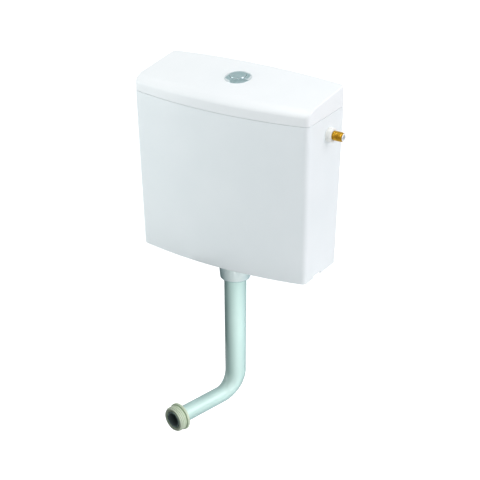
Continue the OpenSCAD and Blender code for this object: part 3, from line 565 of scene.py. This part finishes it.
# %% The lid's shell
def lid_top(x, y):
    """Height of the lid's top over a place in plan."""
    deep = BOW_R - math.hypot(x, y - (BOW_R + FRONT))
    nose = NOSE_H * (1 - max(deep, 0) / NOSE_D) ** 2 if deep < NOSE_D else 0
    crown = LID_CROWN * (1 + CROWN_FADE * y / SIDE_D) * (x / HALF_W) ** 2
    return RIM + LID_H + y * math.tan(LID_FALL) - crown - nose


def draped(plan, down):
    """A ring laid on the lid's top, or under it by a depth."""
    return [(x, y, lid_top(x, y) - down) for x, y in plan]


MIDDLE = FRONT / 2
INNERMOST = NOSE_D * 2.4
SPINE = HALF_W - INNERMOST - 24     # half length of the line that the top closes on


def spine_plan():
    """The closing line: front and back points of the outline meet on it in pairs."""
    run = [(SPINE * (2 * i / BOW_STEPS - 1), MIDDLE) for i in range(1, BOW_STEPS + 1)]
    end = CORNER_STEPS * 2 + SIDE_STEPS
    return run + [(SPINE, MIDDLE)] * end + [(-x, y) for x, y in run] + [(-SPINE, MIDDLE)] * end


def between(plan, other, share):
    """A plan part of the way from one plan to another."""
    return [tuple(a + (b - a) * share for a, b in zip(p, q)) for p, q in zip(plan, other)]


last_plan, spine = outline(RIM, INNERMOST), spine_plan()
top_insets = (4.5, 6, 8, 10, 12, 14, 16, 18, 20, 22, 24, 28, 34, 42, 50, INNERMOST)
top_plans = [outline(RIM, inset) for inset in top_insets]
top_plans += [between(last_plan, spine, share) for share in (0.3, 0.6, 0.85, 1.0)]
lip_in, lip_out, lip_low, ledge = 7, 4.5, RIM - 7, RIM + 4
rings = [draped(plan, LID_T) for plan in reversed(top_plans[2:])]
rings += [draped(outline(RIM, LID_T), LID_T + LID_EDGE)]
rings += [level(ledge, LID_T), level(ledge, lip_in), level(lip_low + EASED, lip_in)]
rings += [level(lip_low, lip_in - EASED), level(lip_low, lip_out + EASED)]
rings += [level(lip_low + EASED, lip_out), level(RIM, lip_out)]
rings += [level(RIM, SEAM_DEEP), level(RIM + SEAM_GAP, SEAM_DEEP), level(RIM + SEAM_GAP, SEAM)]
rings += [level(RIM + SEAM_GAP + SEAM, 0), level(RIM + 9, 0)]
for degrees in range(0, 91, 15):
    a = math.radians(degrees)
    rings.append(draped(outline(RIM, LID_EDGE * (1 - math.cos(a))), LID_EDGE * (1 - math.sin(a))))
rings += [draped(plan, 0) for plan in top_plans]
lid = ringed("lid_shell", rings, caps=False)
print("lid shell:", len(lid.data.polygons), "faces")

# %% [markdown]
# A round hole takes the barrel of the push button. It stands square to the slope of the lid.

# %% The button hole
BUTTON_Y, BUTTON_HOLE_R, REACH = -79, 21.65, 12
BUTTON = at((0, BUTTON_Y, lid_top(0, BUTTON_Y)), Matrix.Rotation(LID_FALL, 4, "X"))
merged(lid, cylinder("button_hole", BUTTON_HOLE_R, -REACH, REACH, BUTTON, 96), "DIFFERENCE")
finished(smooth(lid), "lid_body", "lid_plastic", LID_WHITE, "lid")

# %% [markdown]
# ## The push button
#
# A plated ring stands on the lid, with a barrel below it that the locknut holds. In the ring sit two
# buttons cut from one disc: the larger one behind gives the full flush, the smaller one in front the half
# flush. Ring and barrel are one turning, so a profile is spun. The buttons are a disc, bisected and with
# its upper edge broken.

# %% The bezel
BARREL_R, BARREL_IN, BARREL_LOW, BARREL_FLOOR = 21.3, 19.2, -27, -24
MOUTH_R, UNDER_RING, ROD_HOLE_R = 18.0, -0.4, 2.85
FULL_ROD, HALF_ROD = (9, 3), (-9, -10)  # where the push rods stand, from the middle of the ring
ring_crown = [(30.2, UNDER_RING), (30.6, 0), (30.5, 0.5), (30.0, 1.0), (28.4, 2.0), (26.0, 3.1), (23.4, 4.0),
              (21.0, 4.6), (19.4, 4.8), (18.4, 4.7)]
bezel_profile = [(0, BARREL_LOW), (BARREL_R, BARREL_LOW), (BARREL_R, UNDER_RING), *ring_crown,
                 (MOUTH_R, 4.2), (MOUTH_R, -3.0), (BARREL_IN, -4.0), (BARREL_IN, BARREL_FLOOR),
                 (0, BARREL_FLOOR)]
bezel = turned("bezel_ring", bezel_profile, BUTTON)
for rod in (FULL_ROD, HALF_ROD):
    rod_hole = cylinder("rod_hole", ROD_HOLE_R, BARREL_LOW - 1, BARREL_FLOOR + 1, BUTTON @ at((*rod, 0)), 32)
    merged(bezel, rod_hole, "DIFFERENCE")
finished(smooth(bezel), "lid_body", "bright_chrome", CHROME, "button_bezel")

# %% The two buttons
DISC_R, DISC_LOW, DISC_TOP, DISC_ROUND = 17.5, -3.6, 6.4, 0.5
FULL_SPLIT, HALF_SPLIT = -4.25, -4.75  # the gap between the two
SOCKET_R, SOCKET_TOP = 2.6, 2.4


def button(name, split, front):
    """One button: the disc cut at the split, with the upper edges rounded."""
    piece = cylinder(name, DISC_R, DISC_LOW, DISC_TOP, sides=96)
    edit(piece)
    bpy.ops.mesh.bisect(plane_co=(0, split * MM, 0), plane_no=(0, 1, 0), use_fill=True,
                        clear_inner=not front, clear_outer=front)
    pick(piece, "EDGE", lambda e: all(v.co.z > (DISC_TOP - 0.1) * MM for v in e.verts))
    bpy.ops.mesh.bevel(offset=DISC_ROUND * MM, segments=4, affect="EDGES")
    leave()
    piece.data.transform(BUTTON)
    return tidy(piece)


full = button("full_button_cap", FULL_SPLIT, False)
half = button("half_button_cap", HALF_SPLIT, True)
for piece, rod in ((full, FULL_ROD), (half, HALF_ROD)):
    socket = cylinder("socket", SOCKET_R, DISC_LOW - 1, SOCKET_TOP, BUTTON @ at((*rod, 0)), 32)
    merged(piece, socket, "DIFFERENCE")
finished(smooth(full), "full_button", "bright_chrome", CHROME, "full_flush_button")
finished(smooth(half), "half_button", "bright_chrome", CHROME, "half_flush_button")

# %% [markdown]
# ## The inlet
#
# The supply comes in through a brass shank on the right-hand side. The shank is a turned tube with a
# flange inside the tank; its outer end carries a half-inch pipe thread, 14 turns to the inch. The thread
# is a real ridge: one tooth wound up the shank. A white plastic nut pulls the flange and its washer to
# the wall.

# %% The brass shank
shank_lo, shank_hi = (corner.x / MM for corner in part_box("inlet_shank"))
nut_lo, nut_hi = (corner.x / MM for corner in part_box("inlet_backnut"))
CREST, ROOT, BORE, PITCH = 10.4775, 9.55, 6.0, 1.814
BODY_R, FLANGE_R, CHAMFER = ROOT + 0.5, 15.48, 0.6
flange_lo, flange_hi = shank_lo + 14, shank_lo + 18
shank_profile = [(BORE, shank_lo), (BODY_R, shank_lo), (BODY_R, flange_lo), (FLANGE_R, flange_lo),
                 (FLANGE_R, flange_hi), (BODY_R, flange_hi), (BODY_R, nut_hi - 1), (ROOT, nut_hi),
                 (ROOT, shank_hi - CHAMFER), (ROOT - CHAMFER, shank_hi), (BORE + EASED, shank_hi),
                 (BORE, shank_hi - EASED)]
shank = turned("inlet_tube", shank_profile, INLET_PLACE)
finished(smooth(shank), "tank_body", "brass", BRASS, "inlet_shank")
thread = ridge("inlet_thread", ROOT, CREST, PITCH, nut_hi + 0.3, shank_hi - CHAMFER, INLET_PLACE)
finished(smooth(thread), "tank_body", "brass", BRASS)
LINER_IN, LINER_OUT, liner_lo = BORE - 0.3, BORE - 0.05, shank_hi - 20  # a thin bright lining with a lip
lip_lo, lip_hi = shank_hi + 0.02, shank_hi + 0.25
lip_profile = [(LINER_IN, liner_lo), (LINER_OUT, liner_lo), (LINER_OUT, lip_lo), (ROOT - 0.4, lip_lo),
               (ROOT - 0.5, lip_hi), (LINER_OUT, lip_hi), (LINER_IN, shank_hi)]
lip = turned("inlet_lip", lip_profile, INLET_PLACE)
finished(smooth(lip), "tank_body", "brass", TINNED)

# %% The inlet nut
INLET_NUT_R, INLET_NUT_SIDES, INLET_NUT_ROUND, INLET_NUT_BORE = 16.5, 8, 1.6, 10.38
WASHER_IN, washer_hi = 9, nut_lo + 3
nut = cylinder("inlet_nut", INLET_NUT_R, nut_lo + 2.5, nut_hi, INLET_PLACE, INLET_NUT_SIDES)
broken_edges(nut, INLET_NUT_ROUND, 4)
washer_profile = [(WASHER_IN, nut_lo), (INLET_NUT_R, nut_lo), (INLET_NUT_R, washer_hi),
                  (WASHER_IN, washer_hi)]
merged(nut, turned("collar", rounded(washer_profile, 0.8), INLET_PLACE), "UNION")
merged(nut, cylinder("nut_bore", INLET_NUT_BORE, nut_lo - 1, nut_hi + 1, INLET_PLACE), "DIFFERENCE")
finished(smooth(nut), "tank_body", "white_fitting", FITTING, "inlet_backnut")

# %% [markdown]
# ## The outlet and its coupling
#
# The flush valve stands on the floor and its threaded tail comes down through it. A backnut holds it from
# below. A few turns of the tail show between the skirt and the coupling nut, which clamps the drop pipe
# with a rubber ring. All of these are turnings; the nut is smooth, tapers a little and has a round lower
# edge.

# %% The valve base and its thread
base_lo, base_hi = (corner.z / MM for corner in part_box("flush_valve_base"))
TAIL, TAIL_ROOT, TAIL_BORE, TAIL_PITCH = 29.8, 28.5, 25.85, 2.309
PLATE_R, LAND_R = 42, TAIL_BORE + 4
plate_lo, plate_hi = FLOOR + 3, FLOOR + 8
base_profile = [(TAIL_BORE, base_lo), (TAIL_ROOT, base_lo), (TAIL_ROOT, plate_lo), (PLATE_R, plate_lo),
                (PLATE_R, plate_hi), (LAND_R, plate_hi), (LAND_R, base_hi - 1), (LAND_R - 1, base_hi),
                (TAIL_BORE, base_hi)]
base = turned("valve_base", rounded(base_profile, EASED, 2), OUTLET_PLACE)
finished(smooth(base), "tank_body", "inner_plastic", INNER, "flush_valve_base")
tail = ridge("tail_thread", TAIL_ROOT, TAIL, TAIL_PITCH, base_lo + 1, UNDER, OUTLET_PLACE, 64)
finished(smooth(tail), "tank_body", "inner_plastic", INNER)

# %% The coupling nut
nut_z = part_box("coupling_nut")[0].z / MM
NUT_R, NUT_LOW, NUT_EDGE, NUT_ROUND = 37, 34.8, 1.2, 5
NUT_HOLE, NUT_THREAD = 25.85, 29.9
nut_top, nut_floor = nut_z + 38, nut_z + 7.4
lower_edge = [(NUT_LOW - NUT_ROUND * (1 - math.sin(a)), nut_z + NUT_ROUND * (1 - math.cos(a)))
              for a in (QUARTER * i / 8 for i in range(9))]
upper_edge = [(NUT_R, nut_top - NUT_EDGE), (NUT_R - NUT_EDGE / 3, nut_top - NUT_EDGE / 3),
              (NUT_R - NUT_EDGE, nut_top)]
coupling_profile = [(NUT_HOLE, nut_z), *lower_edge, *upper_edge, (NUT_THREAD, nut_top),
                    (NUT_THREAD, nut_floor), (NUT_HOLE, nut_floor)]
coupling = turned("coupling_ring", coupling_profile, OUTLET_PLACE, 128)
finished(smooth(coupling), "tank_body", "white_fitting", COUPLING, "coupling_nut")

# %% [markdown]
# ## The flush bend
#
# The bend is a blow-moulded tube: an upright drop that tapers a little, a quarter turn that narrows, and
# a lower leg that falls a few degrees and turns to the left. It could be a bevelled curve, but the radius
# changes along it, so a circle is extruded down the centre line ring by ring, round the mouth, and back
# up the inside. The inside is never polished, so its faces get a duller finish; their dark colour is painted
# shade for the depth of the tube.

# %% The flush bend
CORNER_Z, BEND_R, BEND, SWING = -656.5, 52, math.radians(87), math.radians(15.2)
TANGENT = BEND_R * math.tan(BEND / 2)
bend_z = CORNER_Z + TANGENT
DROP_R, MID_R, LEG_R, PIPE_T, LEG_END = 25.5, 24.0, 18.8, 2.2, 195.2
DROP_STEPS, BEND_STEPS, LEG_STEPS = 8, 32, 6
PIPE_PLACE = at(OUTLET, Matrix.Rotation(-QUARTER - SWING, 4, "Z"))
pipe_top = base_lo + 24
taper_z = nut_z - 20


def station(out, z, radius, lean, sides=64):
    """One ring of the bend: its centre out from the drop and its height, leaning round the corner."""
    turns = [math.tau * k / sides for k in range(sides)]
    ring = [(out + radius * math.cos(b) * math.cos(lean), radius * math.sin(b),
             z + radius * math.cos(b) * math.sin(lean)) for b in turns]
    return [tuple(PIPE_PLACE @ (Vector(p) * MM) / MM) for p in ring]


def pipe_stations(inset):
    """The centre line from the top of the drop to the mouth, as (out, height, radius, lean)."""
    stops = [(0, z, DROP_R - inset, 0) for z in (pipe_top, (pipe_top + taper_z) / 2, taper_z)]
    for k in range(1, DROP_STEPS):
        share = k / DROP_STEPS
        stops.append((0, taper_z + (bend_z - taper_z) * share, DROP_R + (MID_R - DROP_R) * share - inset, 0))
    for k in range(BEND_STEPS + 1):
        share, a = k / BEND_STEPS, BEND * k / BEND_STEPS
        radius = MID_R + (LEG_R - MID_R) * (3 * share ** 2 - 2 * share ** 3) - inset
        stops.append((BEND_R * (1 - math.cos(a)), bend_z - BEND_R * math.sin(a), radius, a))
    out, z = stops[-1][:2]
    for k in range(1, LEG_STEPS + 1):
        run = (LEG_END - TANGENT) * k / LEG_STEPS
        stops.append((out + run * math.sin(BEND), z - run * math.cos(BEND), LEG_R - inset, BEND))
    return stops


stops = pipe_stations(0) + pipe_stations(PIPE_T)[::-1]
pipe = ringed("flush_tube", [station(*stop) for stop in stops + stops[:1]], caps=False)
finished(smooth(pipe, 40), "flush_bend", "pipe_plastic", PIPE, "flush_pipe")
centre_line = [PIPE_PLACE @ (Vector((out, 0, z)) * MM) for out, z, radius, lean in pipe_stations(0)]
# The faces that look into the tube take the bore material, whose dark colour is painted shade.
pipe.data.materials.append(PIPE_BORE_SHADE)
for face in pipe.data.polygons:
    nearest = min(centre_line, key=lambda stop: (stop - face.center).length_squared)
    if (face.center - nearest).dot(face.normal) < 0:
        face.material_index = 1
print("dull faces in the bore:", sum(face.material_index for face in pipe.data.polygons))

# %% [markdown]
# ## The pan connector
#
# A grey-green rubber collar on the end of the leg seals it in the pan. It has a flange behind, a groove,
# a body with broad ribs, and an open mouth that stands a little past the end of the pipe.

# %% The pan connector
CONE = PIPE_PLACE @ at((0, 0, CORNER_Z), Matrix.Rotation(math.pi - BEND, 4, "Y"))
CONE_END, RIBS = 196, 3
SLEEVE_R, COLLAR_R, GROOVE_R, VALLEY_R = LEG_R + 0.1, 32, 26.4, 28.0
# Each point of a rib is a radius and a share of the pitch
RIB = ((VALLEY_R, 0.04), (29.2, 0.18), (29.4, 0.5), (29.2, 0.82), (VALLEY_R, 0.96))
low, groove, body, rib_end, stop = CONE_END - 25, CONE_END - 19, CONE_END - 16.5, CONE_END - 3, LEG_END - 5
cone_profile = rounded([(SLEEVE_R, low), (COLLAR_R, low), (COLLAR_R, groove), (GROOVE_R, groove),
                        (GROOVE_R, body)], 1.4, 3)
pitch = (rib_end - body) / RIBS
for k in range(RIBS):
    cone_profile += [(radius, body + pitch * (k + share)) for radius, share in RIB]
cone_profile += [(VALLEY_R, rib_end + 0.8), (26.9, CONE_END - 0.3), (26.2, CONE_END), (22.2, CONE_END),
                 (21.0, CONE_END - 0.9), (20.6, stop), (SLEEVE_R, stop)]
cone = turned("pan_collar", cone_profile, CONE, 128)
finished(smooth(cone), "flush_bend", "collar_rubber", COLLAR, "pan_connector")

# %% [markdown]
# ## Inside the tank
#
# The valve tower, the overflow tube, the fill valve and the float only show when the lid is lifted. Their
# shapes are plain mouldings, so a copy of each solid is joined up, its flat faces are cleared of needless
# edges, and its sharp edges are broken, as a mould leaves them.

# %% Softened copies
def softened(node, width):
    """A copy of a solid's mesh with joined faces and broken edges."""
    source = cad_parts[node]
    piece = bpy.data.objects.new(node + "_soft", source.data.copy())
    bpy.context.scene.collection.objects.link(piece)
    only(piece)
    bpy.ops.mesh.customdata_custom_splitnormals_clear()
    edit(piece)
    bpy.ops.mesh.remove_doubles(threshold=1e-5)
    bpy.ops.mesh.dissolve_limited(angle_limit=math.radians(0.6))
    bpy.ops.mesh.normals_make_consistent(inside=False)
    leave()
    return smooth(broken_edges(piece, width) if width else piece)


SOFT = {
    "flush_valve_tower": ("tank_body", "inner_plastic", INNER, 0.5),
    "outlet_backnut": ("tank_body", "white_fitting", FITTING, 0.6),
    "fill_valve_body": ("tank_body", "inner_plastic", INNER, 0.4),
    "fill_valve_cap": ("tank_body", "inner_plastic", INNER, 0.4),
    "silencer_tube": ("tank_body", "inner_plastic", MILKY, 0.3),
    "bezel_locknut": ("lid_body", "white_fitting", FITTING, 0.5),
    "overflow_tube": ("flush_valve", "inner_plastic", MILKY, 0.3),
    "lift_rod": ("flush_valve", "inner_plastic", MILKY, 0.3),
    "seal_retainer": ("flush_valve", "inner_plastic", INNER, 0.3),
    "half_flush_sleeve": ("half_sleeve", "inner_plastic", SLEEVE, 0.3),
    "full_flush_rocker": ("full_rocker", "inner_plastic", INNER, 0.4),
    "half_flush_rocker": ("half_rocker", "inner_plastic", SLEEVE, 0.4),
    "float_arm": ("float_lever", "inner_plastic", INNER, 0.4),
    "float_adjuster": ("float_lever", "inner_plastic", MILKY, 0.3),
    "float": ("float_lever", "inner_plastic", FLOAT, 0.6),
}
for node, (body_name, slot, look, width) in SOFT.items():
    finished(softened(node, width), body_name, slot, look, node)

# %% [markdown]
# The two button springs stand on the floor of the barrel. Each one is a copy of its solid with a mesh of
# its own.

# %% The springs
SPRINGS = {
    "full_button_spring": ("full_flush_press", FULL_ROD),
    "half_button_spring": ("half_flush_press", HALF_ROD),
}
for node, (joint, rod) in SPRINGS.items():
    coil = finished(softened(node, 0), "lid_body", "steel", STEEL, node)
    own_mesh(coil)

# %% [markdown]
# The pins, push rods, seals and washers keep their solids and only get their finish.

# %% Solids that are shown as they are
KEPT = {
    STEEL: ("rocker_pins", "float_arm_pin"),
    RUBBER: ("outlet_gasket", "flush_seal", "coupling_seal", "inlet_washer", "fill_valve_diaphragm"),
    INNER: ("full_flush_rod", "half_flush_rod", "fill_valve_plunger", "inlet_filter"),
}
for look, nodes in KEPT.items():
    for node in nodes:
        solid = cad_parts[node]
        solid.data.materials.clear()
        solid.data.materials.append(look)
print("solids kept:", sum(len(nodes) for nodes in KEPT.values()))

# %% [markdown]
# ## Light, floor and camera
#
# The picture is a plain product photograph: white all round, soft light from above and from the right,
# the front a cool light grey. A large pale floor lies well below the hanging cistern. It is lit like the
# rest and shines a little for the camera only, so it reads as white where it is lit and still takes the
# soft shadow.

# %% The floor
FLOOR_SIZE, FLOOR_Z, FLOOR_GLOW = 60, -1.05, 0.55  # in metres, and the share of white that it shines
nothing_selected()
bpy.ops.mesh.primitive_plane_add(size=FLOOR_SIZE, location=(0, 0, FLOOR_Z))
floor = named("studio_floor")
paper = bpy.data.materials.new("white_paper")
paper.use_nodes = True
tree = paper.node_tree
shader = tree.nodes["Principled BSDF"]
seen = tree.nodes.new("ShaderNodeLightPath")
glow = add(tree, "ShaderNodeEmission", Color=(1, 1, 1, 1))
dim = tree.nodes.new("ShaderNodeMath")
dim.operation = "MULTIPLY"
dim.inputs[1].default_value = FLOOR_GLOW
both = tree.nodes.new("ShaderNodeAddShader")
shader.inputs["Base Color"].default_value = (0.82, 0.83, 0.83, 1)
shader.inputs["Roughness"].default_value = 0.9
shader.inputs["Specular IOR Level"].default_value = 0.0
tree.links.new(seen.outputs["Is Camera Ray"], dim.inputs[0])
tree.links.new(dim.outputs["Value"], glow.inputs["Strength"])
tree.links.new(shader.outputs["BSDF"], both.inputs[0])
tree.links.new(glow.outputs["Emission"], both.inputs[1])
tree.links.new(both.outputs["Shader"], tree.nodes["Material Output"].inputs["Surface"])
floor.data.materials.append(paper)
print("floor at", floor.location.z)

# %% [markdown]
# The room itself lights the object a little. The camera, and anything that mirrors or lets light through,
# sees it as plain white.

# %% The surroundings
ROOM_COLOUR, ROOM_LIGHT = (0.965, 0.985, 1.0, 1), 0.65
world = bpy.data.worlds.new("studio")
bpy.context.scene.world = world
world.use_nodes = True
tree = world.node_tree
room = tree.nodes["Background"]
room.inputs["Color"].default_value, room.inputs["Strength"].default_value = ROOM_COLOUR, ROOM_LIGHT
white = add(tree, "ShaderNodeBackground", Color=(1, 1, 1, 1), Strength=1.0)
seen = tree.nodes.new("ShaderNodeLightPath")
choose = tree.nodes.new("ShaderNodeMixShader")
shown = seen.outputs["Is Camera Ray"]
for ray in ("Is Glossy Ray", "Is Transmission Ray"):
    either = tree.nodes.new("ShaderNodeMath")
    either.operation = "MAXIMUM"
    tree.links.new(shown, either.inputs[0])
    tree.links.new(seen.outputs[ray], either.inputs[1])
    shown = either.outputs["Value"]
tree.links.new(shown, choose.inputs["Fac"])
tree.links.new(room.outputs["Background"], choose.inputs[1])
tree.links.new(white.outputs["Background"], choose.inputs[2])
tree.links.new(choose.outputs["Shader"], tree.nodes["World Output"].inputs["Surface"])
print("surroundings:", world.name)

# %% [markdown]
# Three large soft lamps make the picture: the key from the right, one overhead for the lid, and a cool
# one from the left front. Three small ones only touch up: one along the lower right side, one on the
# lower front, and one that leaves a glint on the plating.

# %% The lamps
def soft_box(name, place, aim, size, power, colour, spread=180):
    """A square lamp that looks at a point, with metres, watts and degrees; a grid narrows its spread."""
    lamp = bpy.data.lights.new(name, "AREA")
    lamp.shape, lamp.size, lamp.energy, lamp.color = "SQUARE", size, power, colour
    lamp.spread = math.radians(spread)
    holder = bpy.data.objects.new(name, lamp)
    bpy.context.scene.collection.objects.link(holder)
    holder.location = place
    holder.visible_camera = False
    holder.rotation_euler = (Vector(aim) - Vector(place)).to_track_quat("-Z", "Y").to_euler()
    return holder


ON_TANK = (0, -0.1, -0.1)
NEUTRAL = (1.0, 1.0, 1.0)
soft_box("key", (2.6, 0.3, 1.1), ON_TANK, 1.8, 34, (1.0, 0.94, 0.98))
soft_box("top", (0.0, -0.3, 2.6), (0, -0.1, 0.1), 1.4, 24, (1.0, 0.95, 0.935))
soft_box("fill", (-3.0, -2.0, 0.1), ON_TANK, 2.4, 42, (0.95, 1.0, 1.0))
soft_box("side", (1.3, -0.5, -0.54), (0, -0.1, -0.54), 0.25, 0.105, (1.0, 0.985, 0.99), spread=32)
soft_box("low", (1.0, -1.9, -0.85), (0, -0.1, -0.42), 0.1, 0.02, NEUTRAL, spread=10)
soft_box("spark", (1.3, -2.2, 1.6), (0, -0.15, -0.6), 0.25, 2.0, NEUTRAL)

# %% [markdown]
# Bright plating and gloss show what stands round them, and pale plastic needs a dark side to show its
# form. Cards out of the picture give both. Two grey-green ones overhead are what the plated push button
# shows. Two dark ones stand close, left of the drop pipe and in front of its mouth.

# %% The cards
def card(name, place, facing, size, colour):
    """A plain card that faces a point, out of the camera's view."""
    nothing_selected()
    bpy.ops.mesh.primitive_plane_add(size=1)
    piece = named(name)
    piece.data.transform(Matrix.Diagonal((size[0], size[1], 1, 1)))
    piece.location = place
    piece.rotation_euler = (Vector(facing) - Vector(place)).to_track_quat("Z", "Y").to_euler()
    board = bpy.data.materials.new(name)
    board.use_nodes = True
    face = board.node_tree.nodes["Principled BSDF"]
    face.inputs["Base Color"].default_value = (*colour, 1)
    face.inputs["Roughness"].default_value = 0.9
    piece.data.materials.append(board)
    return piece


GREY_GREEN, BLACK = (0.54, 0.66, 0.66), (0.02, 0.025, 0.025)
overhead = card("overhead_card", (-1.2, 1.5, 1.7), (0, -0.08, 0.11), (2.2, 1.8), GREY_GREEN)
ceiling = card("ceiling_card", (0.9, -1.8, 2.2), (0.9, -1.8, 0.0), (5.0, 6.0), GREY_GREEN)
drop_card = card("drop_card", (-0.0825, -0.167, -0.458), (0, -0.094, -0.458), (0.26, 0.28), BLACK)
mouth_card = card("mouth_card", (-0.084, -0.405, -0.674), (-0.05, -0.28, -0.667), (0.5, 0.4), BLACK)
for piece in (overhead, ceiling, drop_card, mouth_card):
    piece.visible_camera = False
for piece in (overhead, ceiling):
    piece.visible_diffuse = piece.visible_shadow = False

# %% [markdown]
# The camera stands where straight edges of the real object, such as the foot, the rim and the drop, fall
# on the same lines as in a photograph: in front, to the right and above, with a long lens.

# %% The camera
eye = Vector((1830.8, -3029.3, 1363.6)) * MM
right, up, back = (Vector(v) for v in ((0.8507, 0.52565, -0.00214), (-0.22353, 0.36543, 0.9036),
                                       (0.47577, -0.76821, 0.42836)))
lens = bpy.data.cameras.new("camera")
lens.sensor_width, lens.lens = 36, 127.5
lens.clip_end = 200
camera = bpy.data.objects.new("camera", lens)
bpy.context.scene.collection.objects.link(camera)
turn = Matrix((right, up, back)).transposed().to_4x4()
camera.matrix_world = Matrix.Translation(eye) @ turn
bpy.context.scene.camera = camera
bpy.context.scene.view_settings.view_transform = "Standard"
print("camera", round(eye.length, 2), "m from the origin")

# %% [markdown]
# ## Finish
#
# Nothing is left selected at the end.

# %% Finish
nothing_selected()
